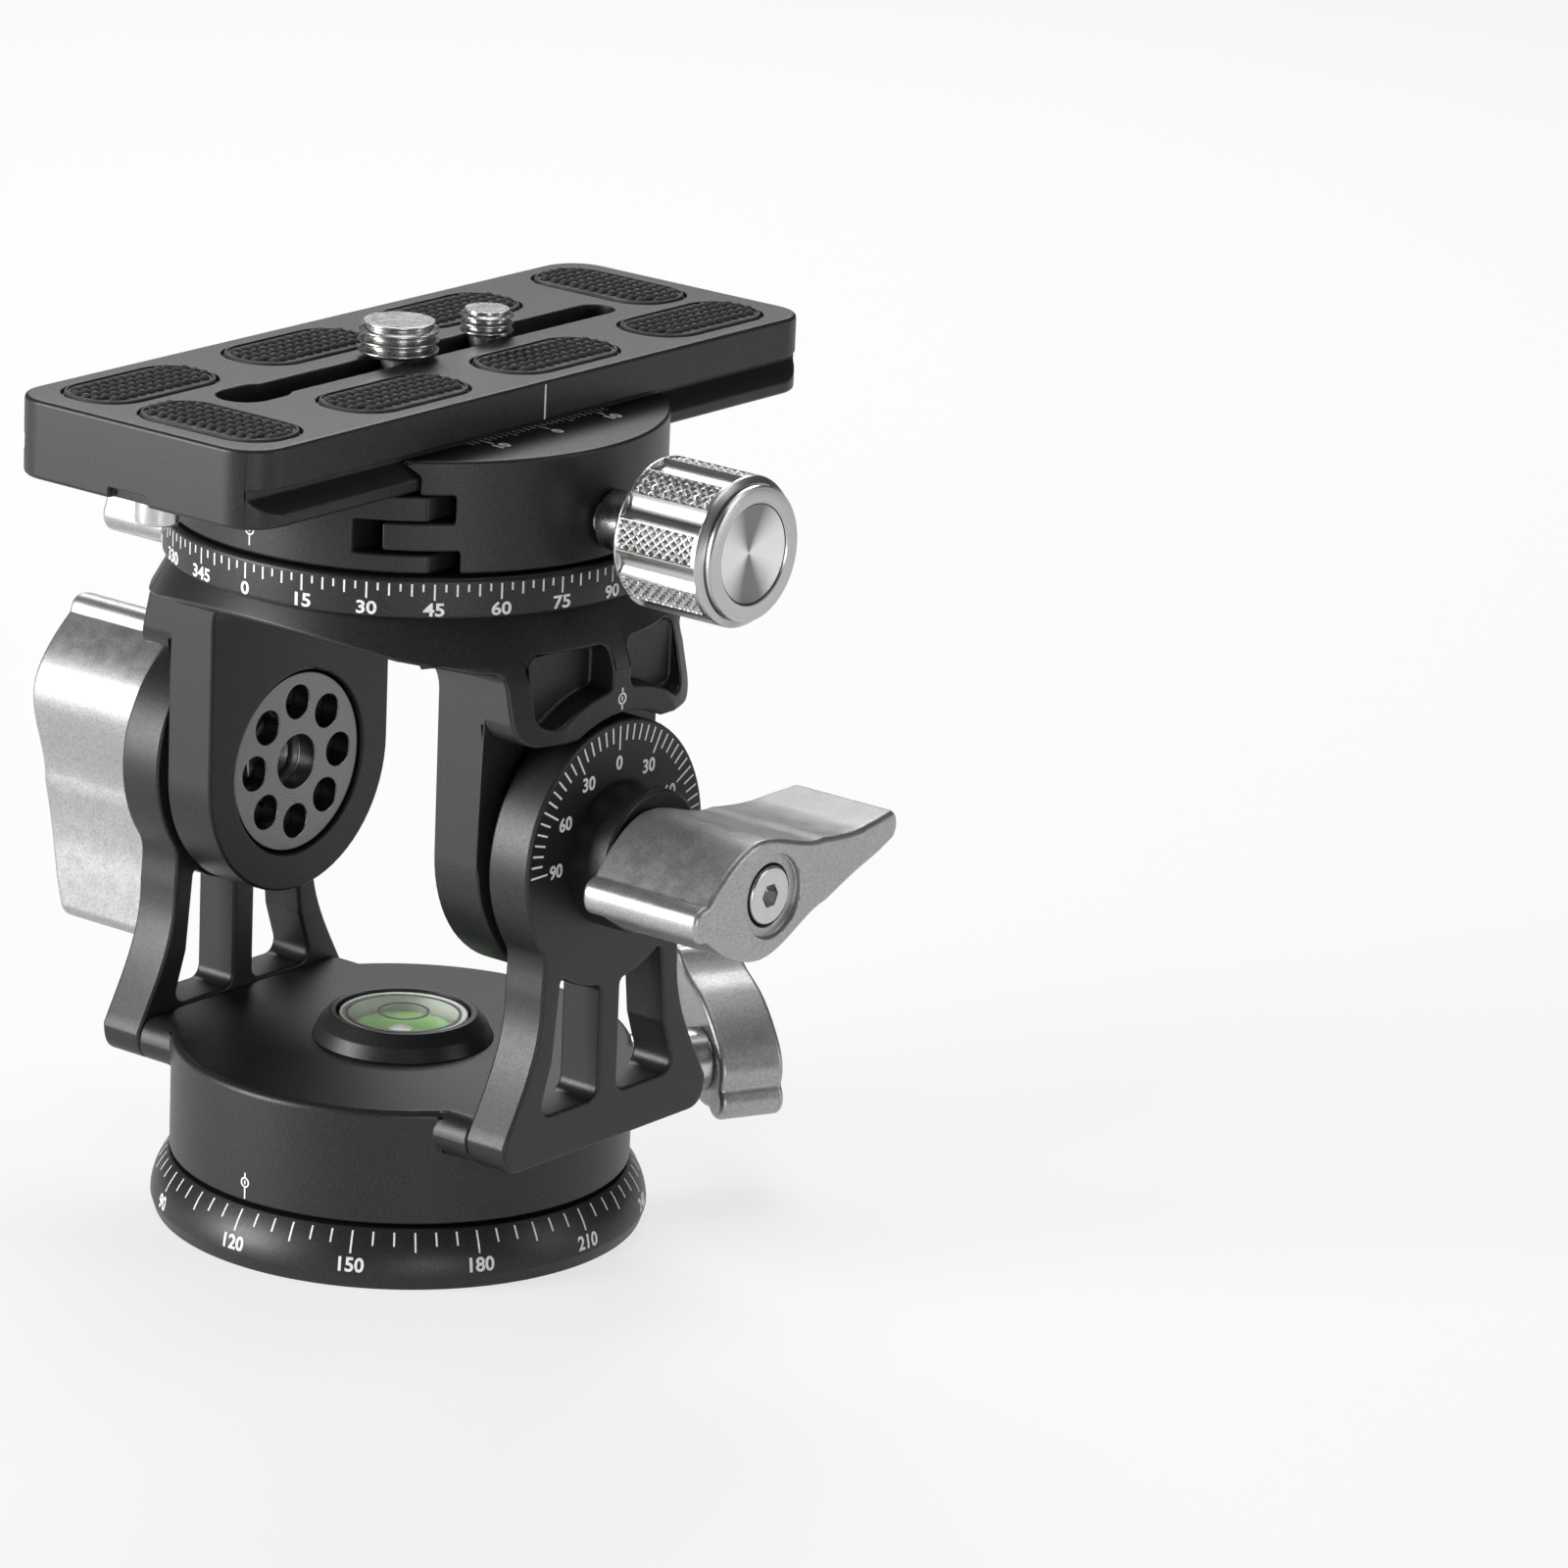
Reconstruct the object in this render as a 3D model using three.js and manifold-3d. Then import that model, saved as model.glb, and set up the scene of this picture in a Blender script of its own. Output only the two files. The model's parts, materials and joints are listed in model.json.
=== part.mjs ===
import * as THREE from 'three';
import { mergeVertices } from 'three/addons/utils/BufferGeometryUtils.js';
import Module from 'manifold-3d';

// Two-way panoramic tripod head. Lengths are millimetres and +Z is up.
// The origin is the centre of the base's underside, on the lower pan axis.
// The front is -Y, and the knurled jaw knob points along +X.

const wasm = await Module();
wasm.setup();

// Facets of round pieces, from the widest to the smallest
const wideFacets = 48;
const midFacets = 24;
const smallFacets = 12;
const arcSteps = 5;
const plateArcSteps = 3;
const edgeSteps = 3; // steps of a rounded edge
const flareSteps = 4; // steps of the base's curved flare
const hexSides = 6;

// Clearances that many pieces share
const fitGap = 0.3; // radial room round a shaft, and room between two pieces that pass
const overrun = 1.0; // how far a cutter reaches past the face that it opens
const cornerRound = 1.5; // rounding of window and pocket corners

// Fixed dial flange at the very bottom
const flange = {
  footInset: 0.6,
  flare: 2.2, // how far the rim stands out past the housing
  rimHeight: 1.8,
  height: 7.1,
  spigotRadius: 14.0,
  neckRadius: 6.0,
};

// Threaded bush for the tripod stud
const bush = {
  outerRadius: 6.5,
  boreRadius: 4.0,
  length: 8.6,
  recess: 0.4,
  chamfer: 0.5,
};

// Screw and washer that hold the housing down on the flange's neck
const panScrew = {
  shankRadius: 2.5,
  shankLength: 9.0,
  headRadius: 4.5,
  headHeight: 1.2,
  socketAcross: 4.0,
  socketDepth: 0.8,
};
const panWasher = { edgeGap: 0.4, thickness: 0.8 };

// Rotating pan housing and the slab that carries the two arms
const housing = {
  radius: 27.8,
  height: 14.1,
  seam: 0.5, // open groove between flange and housing
  webThickness: 3.0,
  edgeRound: 0.8,
  slabThickness: 5.5,
  slabHalfWidth: 18.5,
  slabEdgeRound: 2.7,
};

// Round spirit level in the middle of the housing
const level = {
  cupRadius: 7.8,
  cupWall: 0.5,
  cupFloor: 0.6,
  cupHeight: 3.2,
  ledgeWidth: 0.8, // how far the ledge reaches in under the cup
  ledgeThickness: 0.4,
  rimWall: 0.8,
  shoulderWall: 2.1,
  baseWall: 2.9,
  sleeveWall: 1.2,
  sleeveDepth: 0.8,
  shoulderHeight: 1.7,
  height: 3.1,
  liquidGap: 0.2,
  liquidHeight: 1.6,
  lensHeight: 0.7,
  lensCrown: 0.4,
  layerGap: 0.1,
};

// Lower pan lock: a wing screw through the housing's wall, seen from above at this heading
const panLock = {
  headingDegrees: 64,
  depthBelowTop: 7.5,
  shoeLength: 3.9,
  shoeGap: 0.5,
  screwRadius: 2.7,
  neckRadius: 4.0,
  neckLength: 12.2, // from the housing's wall to the wing
  wingThickness: 8.5,
  hubRadius: 5.2,
  longWing: 15.0,
  longTipHalf: 1.8,
  shortWing: 8.2,
  shortTipHalf: 2.3,
  waistHalf: 2.6,
  waistReach: 8.6,
  wingTiltDegrees: 47,
  pinRadius: 2.0,
  headRadius: 3.0,
  headHeight: 2.0,
  headRecess: 0.3,
  socketAcross: 2.5,
  socketDepth: 1.2,
};

// Tilt axis and the two outer arms that rise from the slab
const tiltAxisAboveHousing = 30.4;
const arm = {
  seatDepth: 1.8, // depth of the flats cut into the housing's sides
  thickness: 6.0,
  headRadius: 16.0,
  neckHalf: 12.5,
  neckBelowHead: 0.1,
  headLeaveDegrees: 36,
  headBlend: 2.0,
  neckBlend: 2.6,
  footStep: 0.1, // how far the foot stands out past the slab's edge
  footRise: 3.8,
  footRound: 3.0,
  upperBend: 6.0,
  lowerBendInset: 3.0,
  lowerBendRise: 5.5,
  ribHalf: 1.8,
  windowRise: 5.9,
  windowFootInset: 6.2,
  windowMidInset: 2.3, // from the neck's edge
  windowMidShare: 0.4218, // height of the side's bend between the window's foot and top
  windowTopInset: 3.4,
  windowBelowHead: 0.2,
};

// Tilt joint along X, from the yoke's inner arm outward
const nut = {
  radius: 11.1,
  thickness: 2.5,
  recessDepth: 3.0,
  holeRadius: 2.05,
  holeInset: 3.6,
  holeCount: 8,
};
const axle = { radius: 6.0, screwGap: 0.4, endShy: 0.3 };
const tiltWasher = { radius: 12.8, thickness: 1.3, play: 0.2 };
const collar = { radius: 8.7, length: 5.6, chamfer: 0.4 };

// Wing levers that clamp the tilt joint
const lever = {
  gap: 0.4,
  noseThickness: 17.0,
  hubThickness: 17.6,
  tailThickness: 14.4,
  noseReach: 13.5,
  noseHalf: 2.2,
  lobeReach: -2.0,
  lobeHalf: 7.3,
  shoulderReach: 10.0,
  shoulderHalf: 4.0,
  narrowReach: 18.0,
  narrowHalf: 2.4,
  tailReach: 27.0,
  tailHalf: 1.8,
  rightTailDegrees: 5.5, // above level, towards the rear
  leftTailDegrees: -84.5, // hanging, a little towards the front
  dishRadius: 5.0,
  dishDepth: 0.8,
  screwRadius: 2.9,
  screwHeadRadius: 3.5,
  screwHeadHeight: 3.0,
  screwHeadShy: 0.3,
  screwEndShy: 1.4,
  socketAcross: 2.5,
  socketDepth: 1.6,
};

// Tilting yoke: two inner arms, shoulders outside them and a round crown
// Drops are measured down from the crown's top, and the outs from the edge or half-width before them.
const yoke = {
  armThickness: 6.9,
  armHalf: 16.0,
  headGap: 0.9, // room round the outer arm's head
  pocketWall: 3.1,
  pocketHeight: 5.4,
  crownThickness: 4.6,
  undersideDrop: 5.9,
  undersideRound: 4.0,
  crownOverArm: 2.5,
  flareHighOut: 2.8,
  flareHighDrop: 5.1,
  flareMidOut: 3.4,
  flareMidDrop: 6.2,
  flareLowOut: 4.4,
  flareLowDrop: 11.3,
  skirtOut: 5.3,
  shoulderDrop: 14.9,
  shoulderRound: 3.0,
  sideStep: 0.1,
  wingRootOut: 0.8,
  wingRootDrop: 6.3,
  wingMidInset: 5.0,
  wingMidDrop: 4.8,
  wingEdgeOut: 1.0,
  wingEdgeDrop: 2.6,
  pocketDepth: 3.7,
  pocketInner: 1.6,
  pocketOuter: 13.1,
  pocketOuterDrop: 12.4, // down to where the outer wall turns in
  pocketLowOuter: 10.8,
  pocketLowRound: 2.0,
  pivotRadius: 7.5,
};

// Threaded sockets for a pan handle, at the back of each inner arm
const socket = {
  across: 8.6,
  proud: 1.2,
  barrelRadius: 3.7,
  depth: 6.8,
  boreRadius: 3.175,
  inset: 1.9,
  drop: 10.9,
};

// Degree ring on top of the yoke
const ring = { overCrown: 1.5, height: 4.9, bevel: 0.6, boreGap: 0.3 };

// Panning clamp
const clamp = {
  seam: 0.3,
  insideRing: 0.6,
  height: 13.4,
  edge: 0.4,
  lowerStep: 2.3,
  slotRelief: 0.05,
  middleStep: 6.2,
  floor: 9.2,
  grooveHalf: 6.7,
  lowerOut: 0.9, // past the plate's edge, as the next two
  upperOut: 0.8,
  slotInset: 6.45,
  recessHeight: 3.7,
  lipOverhang: 2.0,
  plateGap: 0.3,
};
const clampScrew = {
  shankRadius: 2.5,
  shankDepth: 7.4,
  headRadius: 4.2,
  headHeight: 2.4,
  socketAcross: 4.0,
  socketDepth: 1.4,
};
const clampWasher = { radius: 7.2, thickness: 0.4, seatGap: 0.1, play: 0.2 };

// Sliding jaw of the clamp and its two guide pins; outs and insets are from the plate's edge
const jaw = {
  lowerOut: 3.3,
  upperOut: 2.9,
  tongueInset: 3.35,
  tongueUnderGap: 0.4,
  tongueTopGap: 0.1,
  ledgeGap: 0.1,
  pinRadius: 1.5,
  pinSpread: 14.0,
  pinStart: 8.8,
  pinOut: 4.2,
  pinHoleGap: 0.25,
};

// Knurled knob that drives the jaw
const knob = {
  axisRise: 4.6,
  threadRadius: 2.5,
  threadStartGap: 0.6, // from the clamp's pivot hole
  jawGap: 0.4,
  neckRadius: 3.55,
  neckLength: 4.7,
  collarRootRadius: 4.4,
  collarRadius: 6.6,
  collarLength: 2.3,
  gripRadius: 8.9,
  gripLength: 13.9,
  gripEdge: 0.7,
  faceRadius: 8.0, // of the ring in front of the groove
  faceEdge: 0.25,
  faceGroove: 0.35,
  faceGrooveInset: 0.95,
  faceGrooveWidth: 0.25,
  fluteCount: 8,
  fluteTurnDegrees: 13,
  fluteRadius: 2.2,
  fluteBite: 0.75,
  fluteStartInset: 0.6,
  fluteEndInset: 1.7,
  dishRadius: 5.9,
  dishDepth: 1.4,
  capThickness: 0.8,
  borePlay: 0.3,
};

// Upper pan lock on the clamp's far side
const clampLock = {
  axisRise: 3.0,
  shoeGap: 0.2,
  shoeLength: 5.0,
  screwRadius: 2.1,
  standOff: 3.7, // from the clamp's rim to the wing
  wingThickness: 11.0,
  hubRadius: 4.8,
  tailReach: 14.5,
  tailDegrees: -66, // hanging, with its end towards the front
  tailHalf: 2.3,
  waistHalf: 3.0,
  waistReach: 9.0,
  headRadius: 2.8,
  headHeight: 2.0,
  headRecess: 0.3,
  socketAcross: 2.5,
  socketDepth: 1.2,
};

// Quick-release plate
const plate = {
  halfWidth: 19.0,
  length: 100.0,
  cornerRadius: 5.0,
  bottomAboveFloor: 0.5,
  height: 9.3,
  lipHeight: 1.5,
  grooveDepth: 2.0,
  flangeRise: 4.6,
  edgeChamfer: 0.5,
  notchHalf: 3.0,
  notchDepth: 1.0,
  notchRise: 1.3,
  slotHalf: 2.4,
  slotInset: 16.0, // from the plate's end, as the next two insets
  keyHalf: 3.3,
  keyInset: 16.0,
  keyLength: 9.5,
  skin: 2.5,
  channelHalf: 5.5,
  channelInset: 14.0,
};

// Rubber pads let into the plate's top
const pad = {
  between: 6.8, // from the tip of one side pad to the next
  halfWidth: 5.1,
  endRound: 4.6,
  thickness: 1.2,
  proud: 0.6,
  sideInset: 7.8, // from the plate's long edge to the pad's middle
  firstInset: 13.9, // from the plate's end to the middle of the first and last side pads
  lastInset: 32.3,
  sideCount: 3,
  endInset: 8.2,
  endShiftInset: 12.7,
};

// Stop screws under the plate's two ends
const stopScrew = {
  endInset: 5.0,
  headRadius: 2.6,
  headHeight: 3.1,
  shankRadius: 1.5,
  shankLength: 5.0,
  socketAcross: 2.0,
  socketDepth: 1.2,
};

// Camera screws: each hangs in the slot on its sliding clip
const largeScrew = {
  place: -4.2,
  threadRadius: 4.76,
  threadHeight: 4.5,
  threadRise: 0.4,
  ridges: 3,
  ridgeDepth: 0.8,
  neckRadius: 2.1,
  headRadius: 5.1,
  driveHalf: 0.7,
  driveDepth: 1.6,
  clipHalfLength: 5.6,
};
const smallScrew = {
  place: 11.6,
  threadRadius: 3.175,
  threadHeight: 3.4,
  threadRise: 0.3,
  ridges: 3,
  ridgeDepth: 0.6,
  neckRadius: 2.1,
  headRadius: 4.3,
  driveHalf: 0.6,
  driveDepth: 1.6,
  clipHalfLength: 4.6,
};
const ridgeShares = { root: 0.125, crest: 0.5, crestEnd: 0.625 }; // along one ridge's pitch
const clip = {
  thickness: 0.8,
  halfWidth: 5.3,
  topGap: 0.2,
  screwGap: 0.2,
  headRecess: 1.2, // screw head above the plate's underside
  cornerRadius: 1.2,
};

// Levels and reaches that follow from the sizes above
const housingBottom = flange.height + housing.seam;
const housingTop = housingBottom + housing.height;
const slabBottom = housingTop - housing.slabThickness;
const sleeveBottom = housingTop - level.sleeveDepth;
const washerTop = sleeveBottom - fitGap - panScrew.headHeight;
const neckTop = washerTop - panWasher.thickness;
const webTop = neckTop - fitGap;
const webBottom = webTop - housing.webThickness;
const spigotTop = webBottom - fitGap;
const rimRadius = housing.radius + flange.flare;
const levelBore = level.cupRadius + fitGap;
const sleeveRadius = levelBore + level.sleeveWall;
const pocketRadius = sleeveRadius + fitGap;
const panLockEnd = housing.radius + panLock.neckLength;
const tiltAxis = housingTop + tiltAxisAboveHousing;
const armInner = housing.radius - arm.seatDepth;
const armOuter = armInner + arm.thickness;
const footHalf = housing.slabHalfWidth + arm.footStep;
const collarEnd = armOuter + collar.length;
const leverInner = collarEnd + lever.gap;
const axleBore = lever.screwRadius + axle.screwGap;
const yokeArmOuter = armInner - tiltWasher.thickness - tiltWasher.play;
const yokeArmInner = yokeArmOuter - yoke.armThickness;
const nutSeat = yokeArmInner + nut.recessDepth;
const yokeCut = arm.headRadius + yoke.headGap;
const pocketArc = yokeCut + yoke.pocketWall;
const pocketTop = pocketArc + yoke.pocketHeight;
const crownTop = pocketTop + yoke.crownThickness;
const crownRadius = armInner + yoke.crownOverArm;
const skirtRadius = crownRadius + yoke.skirtOut;
const yokeSide = armOuter + yoke.sideStep;
const wingEdge = crownRadius + yoke.wingEdgeOut;
const ringRadius = crownRadius + ring.overCrown;
const ringBottom = tiltAxis + crownTop;
const ringTop = ringBottom + ring.height;
const clampBottom = ringTop + clamp.seam;
const clampRadius = ringRadius - clamp.insideRing;
const plateBottom = clampBottom + clamp.floor + plate.bottomAboveFloor;
const axleHole = axle.radius + fitGap;
const clampPivotHole = yoke.pivotRadius + fitGap;
const clampWasherBottom = clamp.recessHeight - clampWasher.seatGap - clampWasher.thickness;
const pivotTop = clampBottom - tiltAxis + clampWasherBottom - clampWasher.play;

// Stations along the jaw knob and the upper pan lock, measured out from the upper pan axis
const knobThreadStart = clampPivotHole + knob.threadStartGap;
const knobNeckStart = clampRadius + knob.jawGap;
const knobCollarStart = knobNeckStart + knob.neckLength;
const gripStart = knobCollarStart + knob.collarLength;
const gripEnd = gripStart + knob.gripLength;
const lockShoeStart = clampPivotHole + clampLock.shoeGap;
const lockShoeEnd = lockShoeStart + clampLock.shoeLength;
const lockWingStart = clampRadius + clampLock.standOff;

// Places along the plate
const halfLength = plate.length / 2;
const padPitch = (plate.length - pad.firstInset - pad.lastInset) / (pad.sideCount - 1);
const padLength = padPitch - pad.between;

// Finishes
function finish(color, roughness, metalness) {
  return new THREE.MeshStandardMaterial({ color, roughness, metalness });
}
const blackAnodised = finish(0x1c1d1e, 0.5, 0.6);
const blackSteel = finish(0x151515, 0.4, 0.7);
const silverBlasted = finish(0xb4b5b5, 0.4, 0.9);
const silverTurned = finish(0xc9c9c7, 0.25, 1.0);
const chromed = finish(0xd9d9d6, 0.15, 1.0);
const springSteel = finish(0x8f8f8c, 0.35, 0.9);
const brassTurned = finish(0xb08d4a, 0.35, 0.9);
const rubberBlack = finish(0x2a2b2b, 0.9, 0.0);
const slipPlastic = finish(0xdad8cf, 0.6, 0.0);
const cupWhite = finish(0xd0d3cf, 0.4, 0.0);
const liquidGreen = finish(0x7fd63a, 0.2, 0.0);
const lensClear = finish(0xe6f2e2, 0.05, 0.0);

const axisX = new THREE.Vector3(1, 0, 0);
const axisY = new THREE.Vector3(0, 1, 0);
const axisZ = new THREE.Vector3(0, 0, 1);

// Closed geometry to a solid, with shared corners joined and its faces pointing out
function solid(geometry) {
  const bare = geometry.clone();
  bare.deleteAttribute('normal');
  bare.deleteAttribute('uv');
  const joined = mergeVertices(bare);
  const corners = joined.getAttribute('position').array;
  const faces = joined.getIndex().array;
  const kept = [];
  let volume = 0;
  const [a, b, c] = [new THREE.Vector3(), new THREE.Vector3(), new THREE.Vector3()];
  for (let i = 0; i < faces.length; i += 3) {
    const [p, q, r] = [faces[i], faces[i + 1], faces[i + 2]];
    if (p !== q && q !== r && r !== p) {
      kept.push(p, q, r);
      a.fromArray(corners, 3 * p);
      b.fromArray(corners, 3 * q);
      c.fromArray(corners, 3 * r);
      volume += a.dot(b.cross(c));
    }
  }
  const triVerts = Uint32Array.from(volume < 0 ? kept.reverse() : kept);
  const vertProperties = Float32Array.from(corners);
  return new wasm.Manifold(new wasm.Mesh({ numProp: 3, vertProperties, triVerts }));
}

const cutAll = (body, cutters) => cutters.reduce((whole, next) => whole.subtract(next), body);

// Solid back to a named mesh in a group
function addPiece(group, name, body, material) {
  const mesh = body.getMesh();
  const geometry = new THREE.BufferGeometry();
  geometry.setAttribute('position', new THREE.BufferAttribute(mesh.vertProperties, 3));
  geometry.setIndex(new THREE.BufferAttribute(mesh.triVerts, 1));
  geometry.computeVertexNormals();
  const piece = new THREE.Mesh(geometry, material);
  piece.name = name;
  group.add(piece);
  return piece;
}

// A profile of [radius, height] points turned about Z
function turned(profile, facets) {
  const points = profile.map(([radius, height]) => new THREE.Vector2(radius, height));
  return solid(new THREE.LatheGeometry([...points, points[0]], facets).rotateX(Math.PI / 2));
}

function rod(radius, from, to, facets) {
  return turned([[0, from], [radius, from], [radius, to], [0, to]], facets);
}

function tube(outer, inner, from, to, facets) {
  return turned([[inner, from], [outer, from], [outer, to], [inner, to]], facets);
}

// Turn what was built along Z so that it runs along X, with its own X along Y
const uprightToX = new THREE.Matrix4().makeBasis(axisY, axisZ, axisX);
const alongX = (body) => body.transform(uprightToX.elements);

// Turn what was built along Z so that it runs along Y, with its own X still along X
const uprightToY = new THREE.Matrix4().makeBasis(axisX, axisZ, axisY.clone().negate());
const alongY = (body) => body.transform(uprightToY.elements);

const moved = (body, x, y, z) => body.translate([x, y, z]);
const spun = (body, degrees) => body.rotate([0, 0, degrees]);

// An outline pushed up along Z
function prism(shape, from, to) {
  const options = { depth: to - from, bevelEnabled: false, curveSegments: arcSteps };
  return solid(new THREE.ExtrudeGeometry(shape, options).translate(0, 0, from));
}

function box(low, high) {
  const size = high.map((value, i) => value - low[i]);
  const block = new THREE.BoxGeometry(...size);
  return solid(block.translate(...low.map((value, i) => value + size[i] / 2)));
}

// Even shares from 0 to 1
const evenShares = (count) => Array.from({ length: count + 1 }, (item, i) => i / count);

// Corner points with each corner rounded, by its own radius where one is given and its sides allow
function roundedOutline(points, radii) {
  const shape = new THREE.Shape();
  const count = points.length;
  points.forEach(([x, y], i) => {
    const wanted = Array.isArray(radii) ? radii[i] : radii;
    const corner = new THREE.Vector2(x, y);
    const before = new THREE.Vector2(...points[(i + count - 1) % count]);
    const after = new THREE.Vector2(...points[(i + 1) % count]);
    const radius = Math.min(wanted, corner.distanceTo(before) / 2, corner.distanceTo(after) / 2);
    const start = before.sub(corner).setLength(radius).add(corner);
    const end = after.sub(corner).setLength(radius).add(corner);
    if (i === 0) {
      shape.moveTo(start.x, start.y);
    } else {
      shape.lineTo(start.x, start.y);
    }
    if (radius > 0) {
      shape.quadraticCurveTo(corner.x, corner.y, end.x, end.y);
    }
  });
  shape.closePath();
  return shape;
}

function hexagon(across) {
  const reach = across / 2 / Math.cos(Math.PI / hexSides);
  const corners = evenShares(hexSides).slice(1).map((share) => {
    const angle = 2 * Math.PI * share;
    return [reach * Math.cos(angle), reach * Math.sin(angle)];
  });
  return roundedOutline(corners, 0);
}

// Cap screw along +Z: its shank from 0 down, its head from 0 up, with a hexagon socket
function capScrew(size, facets) {
  const body = turned([
    [0, -size.shankLength],
    [size.shankRadius, -size.shankLength],
    [size.shankRadius, 0],
    [size.headRadius, 0],
    [size.headRadius, size.headHeight],
    [0, size.headHeight],
  ], facets);
  const hex = hexagon(size.socketAcross);
  return body.subtract(prism(hex, size.headHeight - size.socketDepth, size.headHeight + overrun));
}

// Wing outline about its hub: a long tail along +X and a short one along -X, with drawn-in waists
function wingOutline(size) {
  const shape = new THREE.Shape();
  const hub = size.hubRadius;
  shape.moveTo(size.longWing - size.longTipHalf, -size.longTipHalf);
  shape.absarc(size.longWing - size.longTipHalf, 0, size.longTipHalf, -Math.PI / 2, Math.PI / 2, false);
  shape.bezierCurveTo(size.waistReach, size.longTipHalf, size.waistReach, hub, 0, hub);
  if (size.shortWing > hub) {
    const shortEnd = size.shortTipHalf - size.shortWing;
    shape.bezierCurveTo(-hub, hub, -hub, size.shortTipHalf, shortEnd, size.shortTipHalf);
    shape.absarc(shortEnd, 0, size.shortTipHalf, Math.PI / 2, 1.5 * Math.PI, false);
    shape.bezierCurveTo(-hub, -size.shortTipHalf, -hub, -hub, 0, -hub);
  } else {
    shape.absarc(0, 0, hub, Math.PI / 2, 1.5 * Math.PI, false);
  }
  shape.bezierCurveTo(size.waistReach, -hub, size.waistReach, -size.longTipHalf,
    size.longWing - size.longTipHalf, -size.longTipHalf);
  return shape;
}

// Lower pan base: the part that stays with the tripod
function makeBase(head) {
  const flareRise = flange.height - flange.rimHeight;
  const flare = evenShares(flareSteps).map((share) => [
    rimRadius - flange.flare * share * share,
    flange.rimHeight + flareRise * share,
  ]);
  const body = turned([
    [0, 0],
    [rimRadius - flange.footInset, 0],
    ...flare,
    [flange.spigotRadius, flange.height],
    [flange.spigotRadius, spigotTop],
    [flange.neckRadius, spigotTop],
    [flange.neckRadius, neckTop],
    [0, neckTop],
  ], wideFacets);
  const bushTop = bush.recess + bush.length;
  const screwBottom = washerTop - panScrew.shankLength;
  addPiece(head, 'base_flange', cutAll(body, [
    rod(bush.outerRadius + fitGap, -overrun, bushTop + fitGap, midFacets),
    rod(panScrew.shankRadius + fitGap, screwBottom - fitGap, neckTop + overrun, smallFacets),
  ]), blackAnodised);

  addPiece(head, 'tripod_bush', turned([
    [bush.boreRadius + bush.chamfer, bush.recess],
    [bush.outerRadius, bush.recess],
    [bush.outerRadius, bushTop],
    [bush.boreRadius, bushTop],
    [bush.boreRadius, bush.recess + bush.chamfer],
  ], midFacets), brassTurned);

  const washerHole = panScrew.shankRadius + fitGap;
  const washer = tube(pocketRadius - panWasher.edgeGap, washerHole, neckTop, washerTop, midFacets);
  addPiece(head, 'pan_thrust_washer', washer, slipPlastic);
  const screw = addPiece(head, 'pan_centre_screw', capScrew(panScrew, smallFacets), blackSteel);
  screw.position.z = washerTop;
}

// Heading of the lower pan lock, as a turned group at the height of its screw
function panLockGroup(head) {
  const group = new THREE.Group();
  group.position.z = housingTop - panLock.depthBelowTop;
  group.rotation.z = THREE.MathUtils.degToRad(panLock.headingDegrees);
  head.add(group);
  return group;
}

function makeHousing(head) {
  const round = housing.edgeRound;
  const topEdge = evenShares(edgeSteps).map((share) => {
    const angle = (share * Math.PI) / 2;
    return [
      housing.radius - round + round * Math.cos(angle),
      housingTop - round + round * Math.sin(angle),
    ];
  });
  const drum = turned([
    [0, housingBottom],
    [housing.radius, housingBottom],
    ...topEdge,
    [0, housingTop],
  ], wideFacets);
  const slabEdge = housing.slabEdgeRound;
  const slabOutline = roundedOutline([
    [-housing.slabHalfWidth, slabBottom],
    [housing.slabHalfWidth, slabBottom],
    [housing.slabHalfWidth, housingTop],
    [-housing.slabHalfWidth, housingTop],
  ], slabEdge);
  const slab = alongX(prism(slabOutline, -armInner, armInner));
  const reach = housing.radius + overrun;
  const armSeats = [-1, 1].map((side) => box(
    [Math.min(side * armInner, side * reach), -reach, slabBottom],
    [Math.max(side * armInner, side * reach), reach, housingTop + overrun],
  ));
  const lockBore = rod(panLock.screwRadius + fitGap, flange.spigotRadius, reach, smallFacets);
  const lockHeight = housingTop - panLock.depthBelowTop;
  const body = cutAll(drum.add(slab), [
    ...armSeats,
    rod(flange.spigotRadius + fitGap, housingBottom - overrun, webBottom, wideFacets),
    rod(flange.neckRadius + fitGap, webBottom - overrun, webTop + overrun, midFacets),
    rod(pocketRadius, webTop, housingTop + overrun, midFacets),
    moved(spun(alongX(lockBore), panLock.headingDegrees), 0, 0, lockHeight),
  ]);
  addPiece(head, 'pan_housing', body, blackAnodised);

  const lock = panLockGroup(head);
  const shoeStart = flange.spigotRadius + panLock.shoeGap;
  const shoeEnd = shoeStart + panLock.shoeLength;
  const shoe = rod(panLock.screwRadius, shoeStart, shoeEnd, smallFacets);
  addPiece(lock, 'pan_brake_shoe', alongX(shoe), slipPlastic);
}

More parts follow.
